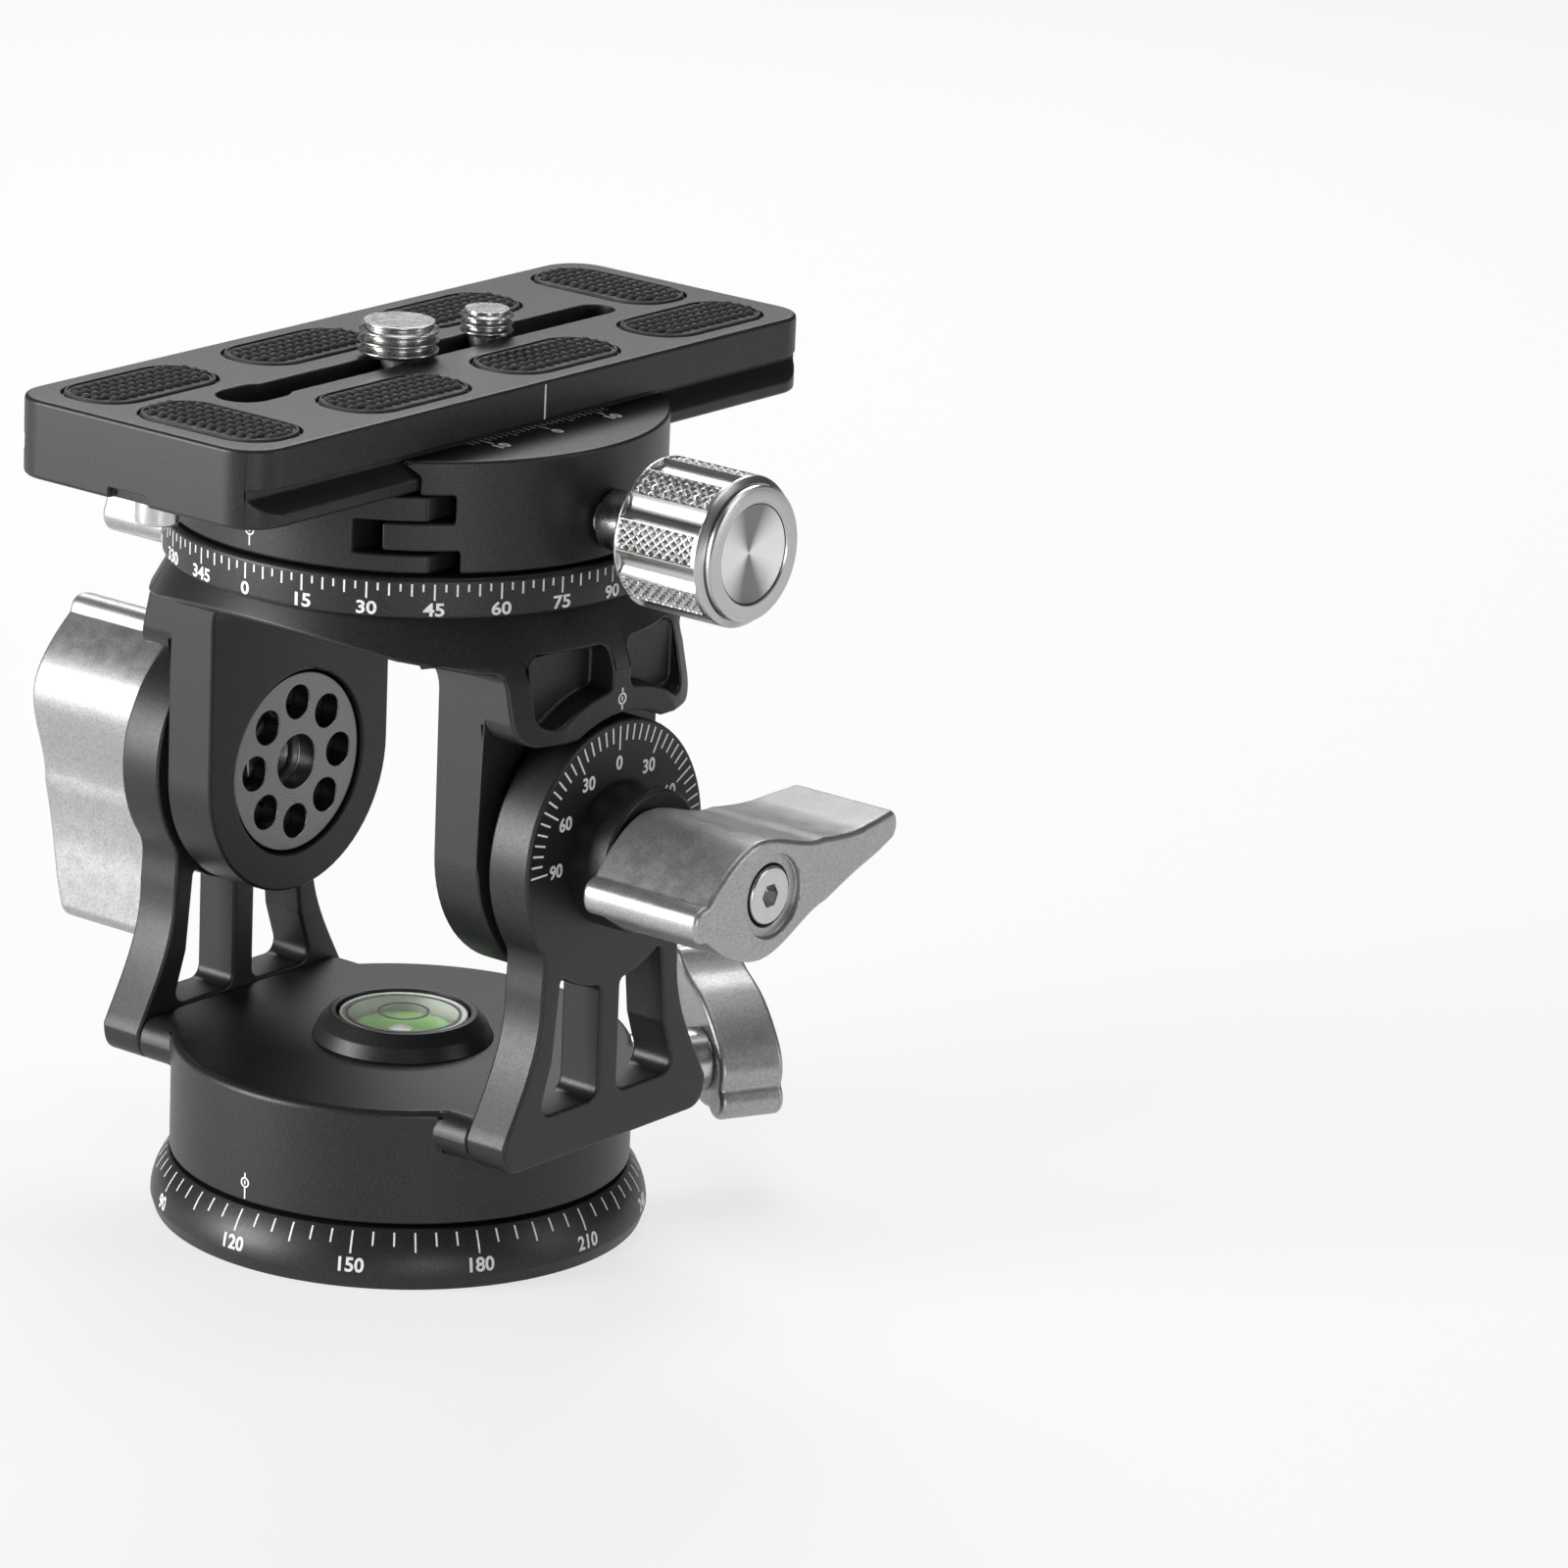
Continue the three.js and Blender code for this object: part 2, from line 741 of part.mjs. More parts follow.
// One outer arm in the plane of the tilt axis, which is at its own origin
function armOutline() {
  const footLow = slabBottom - tiltAxis;
  const footHigh = footLow + arm.footRise;
  const leave = THREE.MathUtils.degToRad(arm.headLeaveDegrees);
  const headX = arm.headRadius * Math.cos(leave);
  const headY = -arm.headRadius * Math.sin(leave);
  const blendX = headX - arm.headBlend * Math.sin(leave);
  const blendY = headY - arm.headBlend * Math.cos(leave);
  const neckY = -arm.headRadius - arm.neckBelowHead;
  const bendX = footHalf - arm.lowerBendInset;
  const bendY = footHigh + arm.lowerBendRise;
  const shape = new THREE.Shape();
  shape.moveTo(arm.footRound - footHalf, footLow);
  shape.lineTo(footHalf - arm.footRound, footLow);
  shape.quadraticCurveTo(footHalf, footLow, footHalf, footHigh);
  shape.bezierCurveTo(bendX, bendY, arm.neckHalf, neckY - arm.upperBend, arm.neckHalf, neckY);
  shape.bezierCurveTo(arm.neckHalf, neckY + arm.neckBlend, blendX, blendY, headX, headY);
  shape.absarc(0, 0, arm.headRadius, -leave, Math.PI + leave, false);
  shape.bezierCurveTo(-blendX, blendY, -arm.neckHalf, neckY + arm.neckBlend, -arm.neckHalf, neckY);
  shape.bezierCurveTo(-arm.neckHalf, neckY - arm.upperBend, -bendX, bendY, -footHalf, footHigh);
  shape.quadraticCurveTo(-footHalf, footLow, arm.footRound - footHalf, footLow);
  return shape;
}

// The point at this height on a circle about the tilt axis, or at this half-width below the axis
const dropOnCircle = (radius, half) => -Math.sqrt(radius * radius - half * half);

function armWindow(side) {
  const windowLow = slabBottom - tiltAxis + arm.windowRise;
  const topRadius = arm.headRadius + arm.windowBelowHead;
  const topHalf = arm.neckHalf - arm.windowTopInset;
  const topRise = dropOnCircle(topRadius, topHalf);
  const bendRise = windowLow + (topRise - windowLow) * arm.windowMidShare;
  const middle = (arm.ribHalf + topHalf) / 2;
  const corners = [
    [arm.ribHalf, windowLow],
    [footHalf - arm.windowFootInset, windowLow],
    [arm.neckHalf - arm.windowMidInset, bendRise],
    [topHalf, topRise],
    [middle, dropOnCircle(topRadius, middle)],
    [arm.ribHalf, dropOnCircle(topRadius, arm.ribHalf)],
  ].map(([half, rise]) => [side * half, rise]);
  const radii = [cornerRound, cornerRound, cornerRound, cornerRound, 0, cornerRound];
  return roundedOutline(corners, radii);
}

function makeArm() {
  const body = prism(armOutline(), armInner, armOuter);
  return cutAll(body, [
    rod(axleHole, armInner - overrun, armOuter + overrun, midFacets),
    prism(armWindow(1), armInner - overrun, armOuter + overrun),
    prism(armWindow(-1), armInner - overrun, armOuter + overrun),
  ]);
}

function makeCollar() {
  const edge = collar.chamfer;
  return turned([
    [axleHole, armOuter],
    [collar.radius, armOuter],
    [collar.radius, collarEnd - edge],
    [collar.radius - edge, collarEnd],
    [axleHole, collarEnd],
  ], midFacets);
}

// Disc nut with a ring of holes, set into the yoke's inner face
function makeNut() {
  const inner = nutSeat - nut.thickness;
  const body = tube(nut.radius, axleBore, inner, nutSeat, midFacets);
  const circle = nut.radius - nut.holeInset;
  const holes = [];
  for (let i = 0; i < nut.holeCount; i += 1) {
    const angle = (2 * Math.PI * i) / nut.holeCount;
    const hole = rod(nut.holeRadius, inner - overrun, nutSeat + overrun, smallFacets);
    holes.push(moved(hole, circle * Math.cos(angle), circle * Math.sin(angle), 0));
  }
  return cutAll(body, holes);
}

// Lever outline: nose along -X, tail along +X, two lobes at the hub
function leverOutline() {
  const shape = new THREE.Shape();
  const lobe = lever.lobeReach;
  const noseBase = lever.noseHalf - lever.noseReach;
  const upper = (sign) => {
    shape.bezierCurveTo(lobe + lever.shoulderHalf, sign * lever.lobeHalf,
      lever.shoulderReach - lever.shoulderHalf, sign * lever.shoulderHalf,
      lever.shoulderReach, sign * lever.shoulderHalf);
    shape.quadraticCurveTo(lever.narrowReach - lever.narrowHalf, sign * lever.narrowHalf,
      lever.tailReach - lever.tailHalf, sign * lever.tailHalf);
  };
  shape.moveTo(noseBase, lever.noseHalf);
  shape.quadraticCurveTo(lobe - lever.shoulderHalf, lever.lobeHalf, lobe, lever.lobeHalf);
  upper(1);
  shape.absarc(lever.tailReach - lever.tailHalf, 0, lever.tailHalf, Math.PI / 2, -Math.PI / 2, true);
  shape.quadraticCurveTo(lever.narrowReach - lever.narrowHalf, -lever.narrowHalf,
    lever.shoulderReach, -lever.shoulderHalf);
  shape.bezierCurveTo(lever.shoulderReach - lever.shoulderHalf, -lever.shoulderHalf,
    lobe + lever.shoulderHalf, -lever.lobeHalf, lobe, -lever.lobeHalf);
  shape.quadraticCurveTo(lobe - lever.shoulderHalf, -lever.lobeHalf,
    noseBase, -lever.noseHalf);
  shape.quadraticCurveTo(-lever.noseReach, -lever.noseHalf, -lever.noseReach, 0);
  shape.quadraticCurveTo(-lever.noseReach, lever.noseHalf, noseBase, lever.noseHalf);
  return shape;
}

// Lever seen from above its flat side: it thins towards the tail and a little towards the nose
function leverThickness() {
  const shape = new THREE.Shape();
  const nose = -lever.noseReach - overrun;
  const tail = lever.tailReach + overrun;
  const top = leverInner + lever.hubThickness;
  shape.moveTo(nose, leverInner);
  shape.lineTo(nose, leverInner + lever.noseThickness);
  shape.quadraticCurveTo(-lever.noseHalf, top, lever.noseHalf, top);
  shape.quadraticCurveTo(lever.narrowReach, top, tail, leverInner + lever.tailThickness);
  shape.lineTo(tail, leverInner);
  shape.closePath();
  return shape;
}

function makeLever(tailDegrees) {
  const top = leverInner + lever.hubThickness;
  const dishFloor = top - lever.dishDepth;
  const headSeat = dishFloor - lever.screwHeadHeight;
  const breadth = lever.lobeHalf + overrun;
  const slice = alongY(prism(leverThickness(), -breadth, breadth));
  const body = prism(leverOutline(), leverInner, top + overrun).intersect(slice);
  const drilled = cutAll(body, [
    rod(lever.screwRadius + fitGap, leverInner - overrun, top, smallFacets),
    rod(lever.screwHeadRadius + fitGap, headSeat, top, smallFacets),
    rod(lever.dishRadius, dishFloor, top + overrun, midFacets),
  ]);
  return spun(drilled, tailDegrees);
}

function makeTiltScrew() {
  const dishFloor = leverInner + lever.hubThickness - lever.dishDepth;
  const headSeat = dishFloor - lever.screwHeadHeight;
  const innerEnd = nutSeat + lever.screwEndShy;
  const screw = capScrew({
    shankRadius: lever.screwRadius,
    shankLength: headSeat - innerEnd,
    headRadius: lever.screwHeadRadius,
    headHeight: lever.screwHeadHeight + lever.screwHeadShy,
    socketAcross: lever.socketAcross,
    socketDepth: lever.socketDepth,
  }, smallFacets);
  return moved(screw, 0, 0, headSeat);
}

// Everything that repeats on the two sides of the tilt axis, built for +X
function makeTiltSide(head, side, tailDegrees) {
  const group = new THREE.Group();
  group.position.z = tiltAxis;
  group.rotation.z = side === 'right' ? 0 : Math.PI;
  head.add(group);
  const washerEnd = yokeArmOuter + tiltWasher.thickness;
  const washer = tube(tiltWasher.radius, axleHole, yokeArmOuter, washerEnd, midFacets);
  const axleTube = tube(axle.radius, axleBore, nutSeat, collarEnd - axle.endShy, midFacets);
  addPiece(group, `arm_${side}`, alongX(makeArm()), blackAnodised);
  addPiece(group, `tilt_collar_${side}`, alongX(makeCollar()), blackAnodised);
  addPiece(group, `tilt_washer_${side}`, alongX(washer), slipPlastic);
  addPiece(group, `tilt_axle_${side}`, alongX(axleTube), springSteel);
  addPiece(group, `tilt_nut_${side}`, alongX(makeNut()), silverTurned);
  addPiece(group, `tilt_lever_${side}`, alongX(makeLever(tailDegrees)), silverBlasted);
  addPiece(group, `tilt_screw_${side}`, alongX(makeTiltScrew()), chromed);
}

// Spirit level: bezel, cup, liquid and lens, stacked from the bezel's ledge
function makeLevel(head) {
  const cupBottom = sleeveBottom + level.ledgeThickness;
  const ledgeRadius = level.cupRadius - level.ledgeWidth;
  addPiece(head, 'level_bezel', turned([
    [ledgeRadius, sleeveBottom],
    [sleeveRadius, sleeveBottom],
    [sleeveRadius, housingTop],
    [levelBore + level.baseWall, housingTop],
    [levelBore + level.shoulderWall, housingTop + level.shoulderHeight],
    [levelBore + level.rimWall, housingTop + level.height],
    [levelBore, housingTop + level.height],
    [levelBore, cupBottom],
    [ledgeRadius, cupBottom],
  ], midFacets), blackAnodised);
  const cupInner = level.cupRadius - level.cupWall;
  const cupFloorTop = cupBottom + level.cupFloor;
  addPiece(head, 'level_cup', turned([
    [0, cupBottom],
    [level.cupRadius, cupBottom],
    [level.cupRadius, cupBottom + level.cupHeight],
    [cupInner, cupBottom + level.cupHeight],
    [cupInner, cupFloorTop],
    [0, cupFloorTop],
  ], midFacets), cupWhite);
  const liquidRadius = cupInner - level.liquidGap;
  const liquidBottom = cupFloorTop + level.layerGap;
  const liquidTop = liquidBottom + level.liquidHeight;
  addPiece(head, 'level_liquid', rod(liquidRadius, liquidBottom, liquidTop, midFacets), liquidGreen);
  const lensBottom = liquidTop + level.layerGap;
  const lensEdge = lensBottom + level.lensHeight;
  const crown = evenShares(edgeSteps).map((share) => {
    const rise = level.lensCrown * (1 - (1 - share) * (1 - share));
    return [liquidRadius * (1 - share), lensEdge + rise];
  });
  addPiece(head, 'level_lens', turned([
    [0, lensBottom],
    [liquidRadius, lensBottom],
    ...crown,
  ], midFacets), lensClear);
}

function makePanLock(head) {
  const group = panLockGroup(head);
  const wingEnd = panLockEnd + panLock.wingThickness;
  const headTop = wingEnd - panLock.headRecess;
  const headSeat = headTop - panLock.headHeight;
  const screwStart = flange.spigotRadius + panLock.shoeGap + panLock.shoeLength + fitGap;
  const neckStart = housing.radius + fitGap;
  const body = turned([
    [0, screwStart],
    [panLock.screwRadius, screwStart],
    [panLock.screwRadius, neckStart],
    [panLock.neckRadius, neckStart],
    [panLock.neckRadius, panLockEnd],
    [panLock.pinRadius, panLockEnd],
    [panLock.pinRadius, headSeat],
    [panLock.headRadius, headSeat],
    [panLock.headRadius, headTop],
    [0, headTop],
  ], smallFacets);
  const drive = prism(hexagon(panLock.socketAcross), headTop - panLock.socketDepth, headTop + overrun);
  addPiece(group, 'pan_lock_screw', alongX(body.subtract(drive)), silverTurned);

  const wing = cutAll(prism(wingOutline(panLock), panLockEnd, wingEnd), [
    rod(panLock.pinRadius + fitGap, panLockEnd - overrun, wingEnd, smallFacets),
    rod(panLock.headRadius + fitGap, headSeat, wingEnd + overrun, smallFacets),
  ]);
  addPiece(group, 'pan_lock_wing', alongX(spun(wing, panLock.wingTiltDegrees)), silverBlasted);
}

// The yoke's outline along X, without the inner arms below its shoulders
function crownOutline() {
  const half = yoke.armHalf;
  const low = crownTop - yoke.shoulderDrop;
  const wing = [
    [half, crownTop - yoke.wingRootDrop],
    [half + yoke.wingRootOut, crownTop - yoke.wingRootDrop],
    [wingEdge - yoke.wingMidInset, crownTop - yoke.wingMidDrop],
    [wingEdge, crownTop - yoke.wingEdgeDrop],
    [wingEdge, crownTop],
  ];
  const right = [[half, low], ...wing];
  const left = right.map(([y, z]) => [-y, z]).reverse();
  const radii = right.map((point, i) => (i === 0 ? yoke.shoulderRound : 0));
  return roundedOutline([...right, ...left], [...radii, ...[...radii].reverse()]);
}

// Arm shape below the crown: straight sides and a half-round end about the tilt axis
function yokeArmOutline() {
  const underside = crownTop - yoke.undersideDrop;
  const shape = new THREE.Shape();
  shape.moveTo(yoke.armHalf, underside);
  shape.lineTo(-yoke.armHalf, underside);
  shape.lineTo(-yoke.armHalf, 0);
  shape.absarc(0, 0, yoke.armHalf, Math.PI, 2 * Math.PI, false);
  shape.lineTo(yoke.armHalf, underside);
  return shape;
}

function yokePocket(side) {
  const rise = (half) => -dropOnCircle(pocketArc, half);
  const middle = (yoke.pocketInner + yoke.pocketOuter) / 2;
  const corners = [
    [yoke.pocketInner, pocketTop],
    [yoke.pocketOuter, pocketTop],
    [yoke.pocketOuter, crownTop - yoke.pocketOuterDrop],
    [yoke.pocketLowOuter, rise(yoke.pocketLowOuter)],
    [middle, rise(middle)],
    [yoke.pocketInner, rise(yoke.pocketInner)],
  ].map(([half, z]) => [side * half, z]);
  const low = yoke.pocketLowRound;
  return roundedOutline(corners, [cornerRound, cornerRound, low, low, 0, cornerRound]);
}

function makeYoke(head) {
  const group = new THREE.Group();
  group.position.z = tiltAxis;
  head.add(group);
  const skirtRise = crownTop - yoke.shoulderDrop - overrun;
  const flare = turned([
    [0, skirtRise],
    [skirtRadius, skirtRise],
    [crownRadius + yoke.flareLowOut, crownTop - yoke.flareLowDrop],
    [crownRadius + yoke.flareMidOut, crownTop - yoke.flareMidDrop],
    [crownRadius + yoke.flareHighOut, crownTop - yoke.flareHighDrop],
    [crownRadius, crownTop],
    [0, crownTop],
  ], wideFacets);
  const crown = flare.intersect(alongX(prism(crownOutline(), -yokeSide, yokeSide)));
  const reach = yoke.armHalf + overrun;
  const crossReach = wingEdge + overrun;
  const underside = crownTop - yoke.undersideDrop;
  const round = yoke.undersideRound;
  const between = roundedOutline([
    [-yokeArmInner, -reach - overrun],
    [yokeArmInner, -reach - overrun],
    [yokeArmInner, underside],
    [-yokeArmInner, underside],
  ], [0, 0, round, round]);
  const arms = alongX(prism(yokeArmOutline(), -yokeArmOuter, yokeArmOuter));
  const cutters = [alongY(prism(between, -crossReach, crossReach))];
  const floor = yokeSide - yoke.pocketDepth;
  for (const turn of [0, 180]) {
    const side = (body) => spun(alongX(body), turn);
    cutters.push(side(rod(yokeCut, yokeArmOuter, skirtRadius + overrun, wideFacets)));
    cutters.push(side(rod(nut.radius + fitGap, yokeArmInner - overrun, nutSeat, midFacets)));
    cutters.push(side(rod(axleHole, yokeArmInner, yokeArmOuter + overrun, midFacets)));
    cutters.push(side(prism(yokePocket(1), floor, skirtRadius)));
    cutters.push(side(prism(yokePocket(-1), floor, skirtRadius)));
  }
  const socketOffset = yokeArmOuter - socket.inset;
  const socketRise = crownTop - socket.drop;
  const barrel = rod(socket.barrelRadius + fitGap, yoke.armHalf - socket.depth, reach, smallFacets);
  for (const side of [-1, 1]) {
    cutters.push(moved(alongY(barrel.rotate([180, 0, 0])), side * socketOffset, 0, socketRise));
  }
  const pivot = rod(yoke.pivotRadius, crownTop - overrun, pivotTop, midFacets);
  const screwEnd = pivotTop - clampScrew.shankDepth;
  const screwHole = rod(clampScrew.shankRadius + fitGap, screwEnd, pivotTop + overrun, smallFacets);
  const body = cutAll(crown.add(arms), cutters).add(pivot).subtract(screwHole);
  addPiece(group, 'upper_yoke', body, blackAnodised);

  for (const [side, name] of [[1, 'right'], [-1, 'left']]) {
    const flangeHex = prism(hexagon(socket.across), yoke.armHalf, yoke.armHalf + socket.proud);
    const stemStart = yoke.armHalf - socket.depth + fitGap;
    const stem = rod(socket.barrelRadius, stemStart, yoke.armHalf + overrun, smallFacets);
    const bore = rod(socket.boreRadius, 0, yoke.armHalf + socket.proud + overrun, smallFacets);
    const insert = flangeHex.add(stem).subtract(bore);
    const placed = moved(alongY(insert.rotate([180, 0, 0])), side * socketOffset, 0, socketRise);
    addPiece(group, `handle_socket_${name}`, placed, blackSteel);
  }
}

function makeScaleRing(head) {
  const edge = ring.bevel;
  addPiece(head, 'scale_ring', turned([
    [yoke.pivotRadius + ring.boreGap, ringBottom],
    [ringRadius - edge, ringBottom],
    [ringRadius, ringBottom + edge],
    [ringRadius, ringTop - edge],
    [ringRadius - edge, ringTop],
    [yoke.pivotRadius + ring.boreGap, ringTop],
  ], wideFacets), blackAnodised);
}

// The whole round body of the clamp, before it is split into base and jaw
function clampDisc() {
  const edge = clamp.edge;
  return turned([
    [0, 0],
    [clampRadius - edge, 0],
    [clampRadius, edge],
    [clampRadius, clamp.height - edge],
    [clampRadius - edge, clamp.height],
    [0, clamp.height],
  ], wideFacets);
}

// Where the plate's lower edge and groove lie, measured from the clamp's underside
const plateFoot = clamp.floor + plate.bottomAboveFloor;
const dovetailLow = plateFoot + plate.lipHeight;
const lipReach = plate.halfWidth + clamp.plateGap;
const tongueFace = lipReach - jaw.tongueInset;
const slotTop = clamp.middleStep - clamp.slotRelief;
const pinEnd = lipReach + jaw.pinOut;

function makeClamp(head) {
  const group = new THREE.Group();
  group.position.z = clampBottom;
  head.add(group);
  const reach = clampRadius + overrun;
  const slotReach = lipReach - clamp.slotInset;
  const lowerReach = lipReach + clamp.lowerOut;
  const upperReach = lipReach + clamp.upperOut;
  const lipTop = lipReach - clamp.lipOverhang;
  const lipRise = dovetailLow + clamp.lipOverhang + clamp.plateGap;
  const section = roundedOutline([
    [-reach, 0],
    [lowerReach, 0],
    [lowerReach, clamp.lowerStep],
    [slotReach, clamp.lowerStep],
    [slotReach, slotTop],
    [upperReach, clamp.middleStep],
    [upperReach, clamp.floor],
    [clamp.grooveHalf, clamp.floor],
    [clamp.grooveHalf, clamp.middleStep],
    [-clamp.grooveHalf, clamp.middleStep],
    [-clamp.grooveHalf, clamp.floor],
    [-lipReach, clamp.floor],
    [-lipReach, dovetailLow + clamp.plateGap],
    [-lipTop, lipRise],
    [-lipTop, clamp.height + overrun],
    [-reach, clamp.height + overrun],
  ], 0);
  const body = clampDisc().intersect(alongY(prism(section, -reach, reach)));
  const pinHoles = [-1, 1].map((side) => {
    const hole = rod(jaw.pinRadius + jaw.pinHoleGap, jaw.pinStart - fitGap, reach, smallFacets);
    return moved(alongX(hole), 0, side * jaw.pinSpread, knob.axisRise);
  });
  const knobHole = rod(knob.threadRadius + knob.borePlay, knobThreadStart - fitGap, reach, smallFacets);
  const lockBore = rod(clampLock.screwRadius + fitGap, clampPivotHole - overrun, reach, smallFacets);
  addPiece(group, 'clamp_base', cutAll(body, [
    rod(clampPivotHole, -overrun, clamp.recessHeight, midFacets),
    rod(clampScrew.shankRadius + fitGap, 0, clamp.height, smallFacets),
    ...pinHoles,
    moved(alongX(knobHole), 0, 0, knob.axisRise),
    moved(spun(alongX(lockBore), 180), 0, 0, clampLock.axisRise),
  ]), blackAnodised);

  const slipTop = clampWasherBottom + clampWasher.thickness;
  const slipHole = clampScrew.shankRadius + fitGap;
  const slipWasher = tube(clampWasher.radius, slipHole, clampWasherBottom, slipTop, midFacets);
  addPiece(group, 'clamp_thrust_washer', slipWasher, slipPlastic);
  const shankLength = clamp.middleStep - clamp.recessHeight + clampScrew.shankDepth;
  const pivotScrew = capScrew({ ...clampScrew, shankLength }, smallFacets);
  addPiece(group, 'clamp_pivot_screw', pivotScrew, chromed).position.z = clamp.middleStep;
  const shoe = rod(clampLock.screwRadius, lockShoeStart, lockShoeEnd, smallFacets);
  const placedShoe = moved(spun(alongX(shoe), 180), 0, 0, clampLock.axisRise);
  addPiece(group, 'clamp_brake_shoe', placedShoe, slipPlastic);
  makeJaw(group);
  makeKnob(group);
  makeClampLock(group);
}

function makeJaw(group) {
  const reach = clampRadius + overrun;
  const lip = lipReach - clamp.lipOverhang;
  const lowerFace = lipReach + jaw.lowerOut;
  const upperFace = lipReach + jaw.upperOut;
  const ledge = clamp.floor + jaw.ledgeGap;
  const tongueUnder = clamp.lowerStep + jaw.tongueUnderGap;
  const tongueTop = slotTop - jaw.tongueTopGap;
  const section = roundedOutline([
    [lowerFace, 0],
    [reach, 0],
    [reach, clamp.height + overrun],
    [lip, clamp.height + overrun],
    [lip, dovetailLow + clamp.lipOverhang + clamp.plateGap],
    [lipReach, dovetailLow + clamp.plateGap],
    [lipReach, ledge],
    [upperFace, ledge],
    [upperFace, tongueTop],
    [tongueFace, tongueTop],
    [tongueFace, tongueUnder],
    [lowerFace, tongueUnder],
  ], 0);
  const body = clampDisc().intersect(alongY(prism(section, -reach, reach)));
  const knobHole = rod(knob.threadRadius + knob.borePlay, tongueFace - overrun, reach, smallFacets);
  const pinHoles = [-1, 1].map((side) => {
    const hole = rod(jaw.pinRadius + jaw.pinHoleGap, tongueFace - overrun, pinEnd + fitGap, smallFacets);
    return moved(alongX(hole), 0, side * jaw.pinSpread, knob.axisRise);
  });
  addPiece(group, 'clamp_jaw', cutAll(body, [
    moved(alongX(knobHole), 0, 0, knob.axisRise),
    ...pinHoles,
  ]), blackAnodised);
  for (const [side, name] of [[-1, 'front'], [1, 'rear']]) {
    const pin = rod(jaw.pinRadius, jaw.pinStart, pinEnd, smallFacets);
    const placed = moved(alongX(pin), 0, side * jaw.pinSpread, knob.axisRise);
    addPiece(group, `jaw_pin_${name}`, placed, springSteel);
  }
}

function makeKnob(clampGroup) {
  const group = new THREE.Group();
  group.position.z = knob.axisRise;
  clampGroup.add(group);
  const dishFloor = gripEnd - knob.dishDepth;
  const screw = turned([
    [0, knobThreadStart],
    [knob.threadRadius, knobThreadStart],
    [knob.threadRadius, knobNeckStart],
    [knob.neckRadius, knobNeckStart],
    [knob.neckRadius, knobCollarStart],
    [knob.threadRadius, knobCollarStart],
    [knob.threadRadius, dishFloor - fitGap],
    [0, dishFloor - fitGap],
  ], midFacets);
  addPiece(group, 'knob_screw', alongX(screw), silverTurned);
  const collarBore = knob.threadRadius + knob.borePlay;
  addPiece(group, 'knob_collar', alongX(turned([
    [collarBore, knobCollarStart],
    [knob.collarRootRadius, knobCollarStart],
    [knob.collarRadius, gripStart],
    [collarBore, gripStart],
  ], midFacets)), silverTurned);

  const edge = knob.gripEdge;
  const radius = knob.gripRadius;
  const grooveStart = gripEnd - knob.faceGrooveInset;
  const grooveEnd = grooveStart + knob.faceGrooveWidth;
  const grip = turned([
    [0, gripStart],
    [radius - edge, gripStart],
    [radius, gripStart + edge],
    [radius, grooveStart - edge],
    [radius - edge, grooveStart],
    [knob.faceRadius - knob.faceGroove, grooveStart],
    [knob.faceRadius - knob.faceGroove, grooveEnd],
    [knob.faceRadius, grooveEnd],
    [knob.faceRadius, gripEnd - knob.faceEdge],
    [knob.faceRadius - knob.faceEdge, gripEnd],
    [0, gripEnd],
  ], midFacets);
  const flutes = [];
  const offset = radius + knob.fluteRadius - knob.fluteBite;
  for (let i = 0; i < knob.fluteCount; i += 1) {
    const angle = (2 * Math.PI * i) / knob.fluteCount + THREE.MathUtils.degToRad(knob.fluteTurnDegrees);
    const start = gripStart + knob.fluteStartInset;
    const flute = rod(knob.fluteRadius, start, gripEnd - knob.fluteEndInset, smallFacets);
    flutes.push(moved(flute, offset * Math.cos(angle), offset * Math.sin(angle), 0));
  }
  addPiece(group, 'knob_grip', alongX(cutAll(grip, [
    ...flutes,
    rod(collarBore, gripStart - overrun, gripEnd, smallFacets),
    rod(knob.dishRadius, dishFloor, gripEnd + overrun, midFacets),
  ])), silverTurned);
  const cap = rod(knob.dishRadius - fitGap, dishFloor, dishFloor + knob.capThickness, midFacets);
  addPiece(group, 'knob_cap', alongX(cap), silverTurned);
}

function makeClampLock(clampGroup) {
  const group = new THREE.Group();
  group.position.z = clampLock.axisRise;
  group.rotation.z = Math.PI;
  clampGroup.add(group);
  const wingEnd = lockWingStart + clampLock.wingThickness;
  const headTop = wingEnd - clampLock.headRecess;
  const headSeat = headTop - clampLock.headHeight;
  const screwStart = lockShoeEnd + fitGap;
  const screw = turned([
    [0, screwStart],
    [clampLock.screwRadius, screwStart],
    [clampLock.screwRadius, headSeat],
    [clampLock.headRadius, headSeat],
    [clampLock.headRadius, headTop],
    [0, headTop],
  ], smallFacets);
  const drive = prism(hexagon(clampLock.socketAcross), headTop - clampLock.socketDepth, headTop + overrun);
  addPiece(group, 'clamp_lock_screw', alongX(screw.subtract(drive)), chromed);
  const outline = wingOutline({
    hubRadius: clampLock.hubRadius,
    longWing: clampLock.tailReach,
    longTipHalf: clampLock.tailHalf,
    waistReach: clampLock.waistReach,
    shortWing: 0,
  });
  const wing = cutAll(prism(outline, lockWingStart, wingEnd), [
    rod(clampLock.screwRadius + fitGap, lockWingStart - overrun, wingEnd, smallFacets),
    rod(clampLock.headRadius + fitGap, headSeat, wingEnd + overrun, smallFacets),
  ]);
  addPiece(group, 'clamp_lock_wing', alongX(spun(wing, clampLock.tailDegrees)), silverBlasted);
}

// Outline of a pad, long along Y, with well-rounded ends
function padOutline(grow) {
  const half = padLength / 2 + grow;
  const side = pad.halfWidth + grow;
  return roundedOutline([
    [-side, -half],
    [side, -half],
    [side, half],
    [-side, half],
  ], pad.endRound + grow);
}

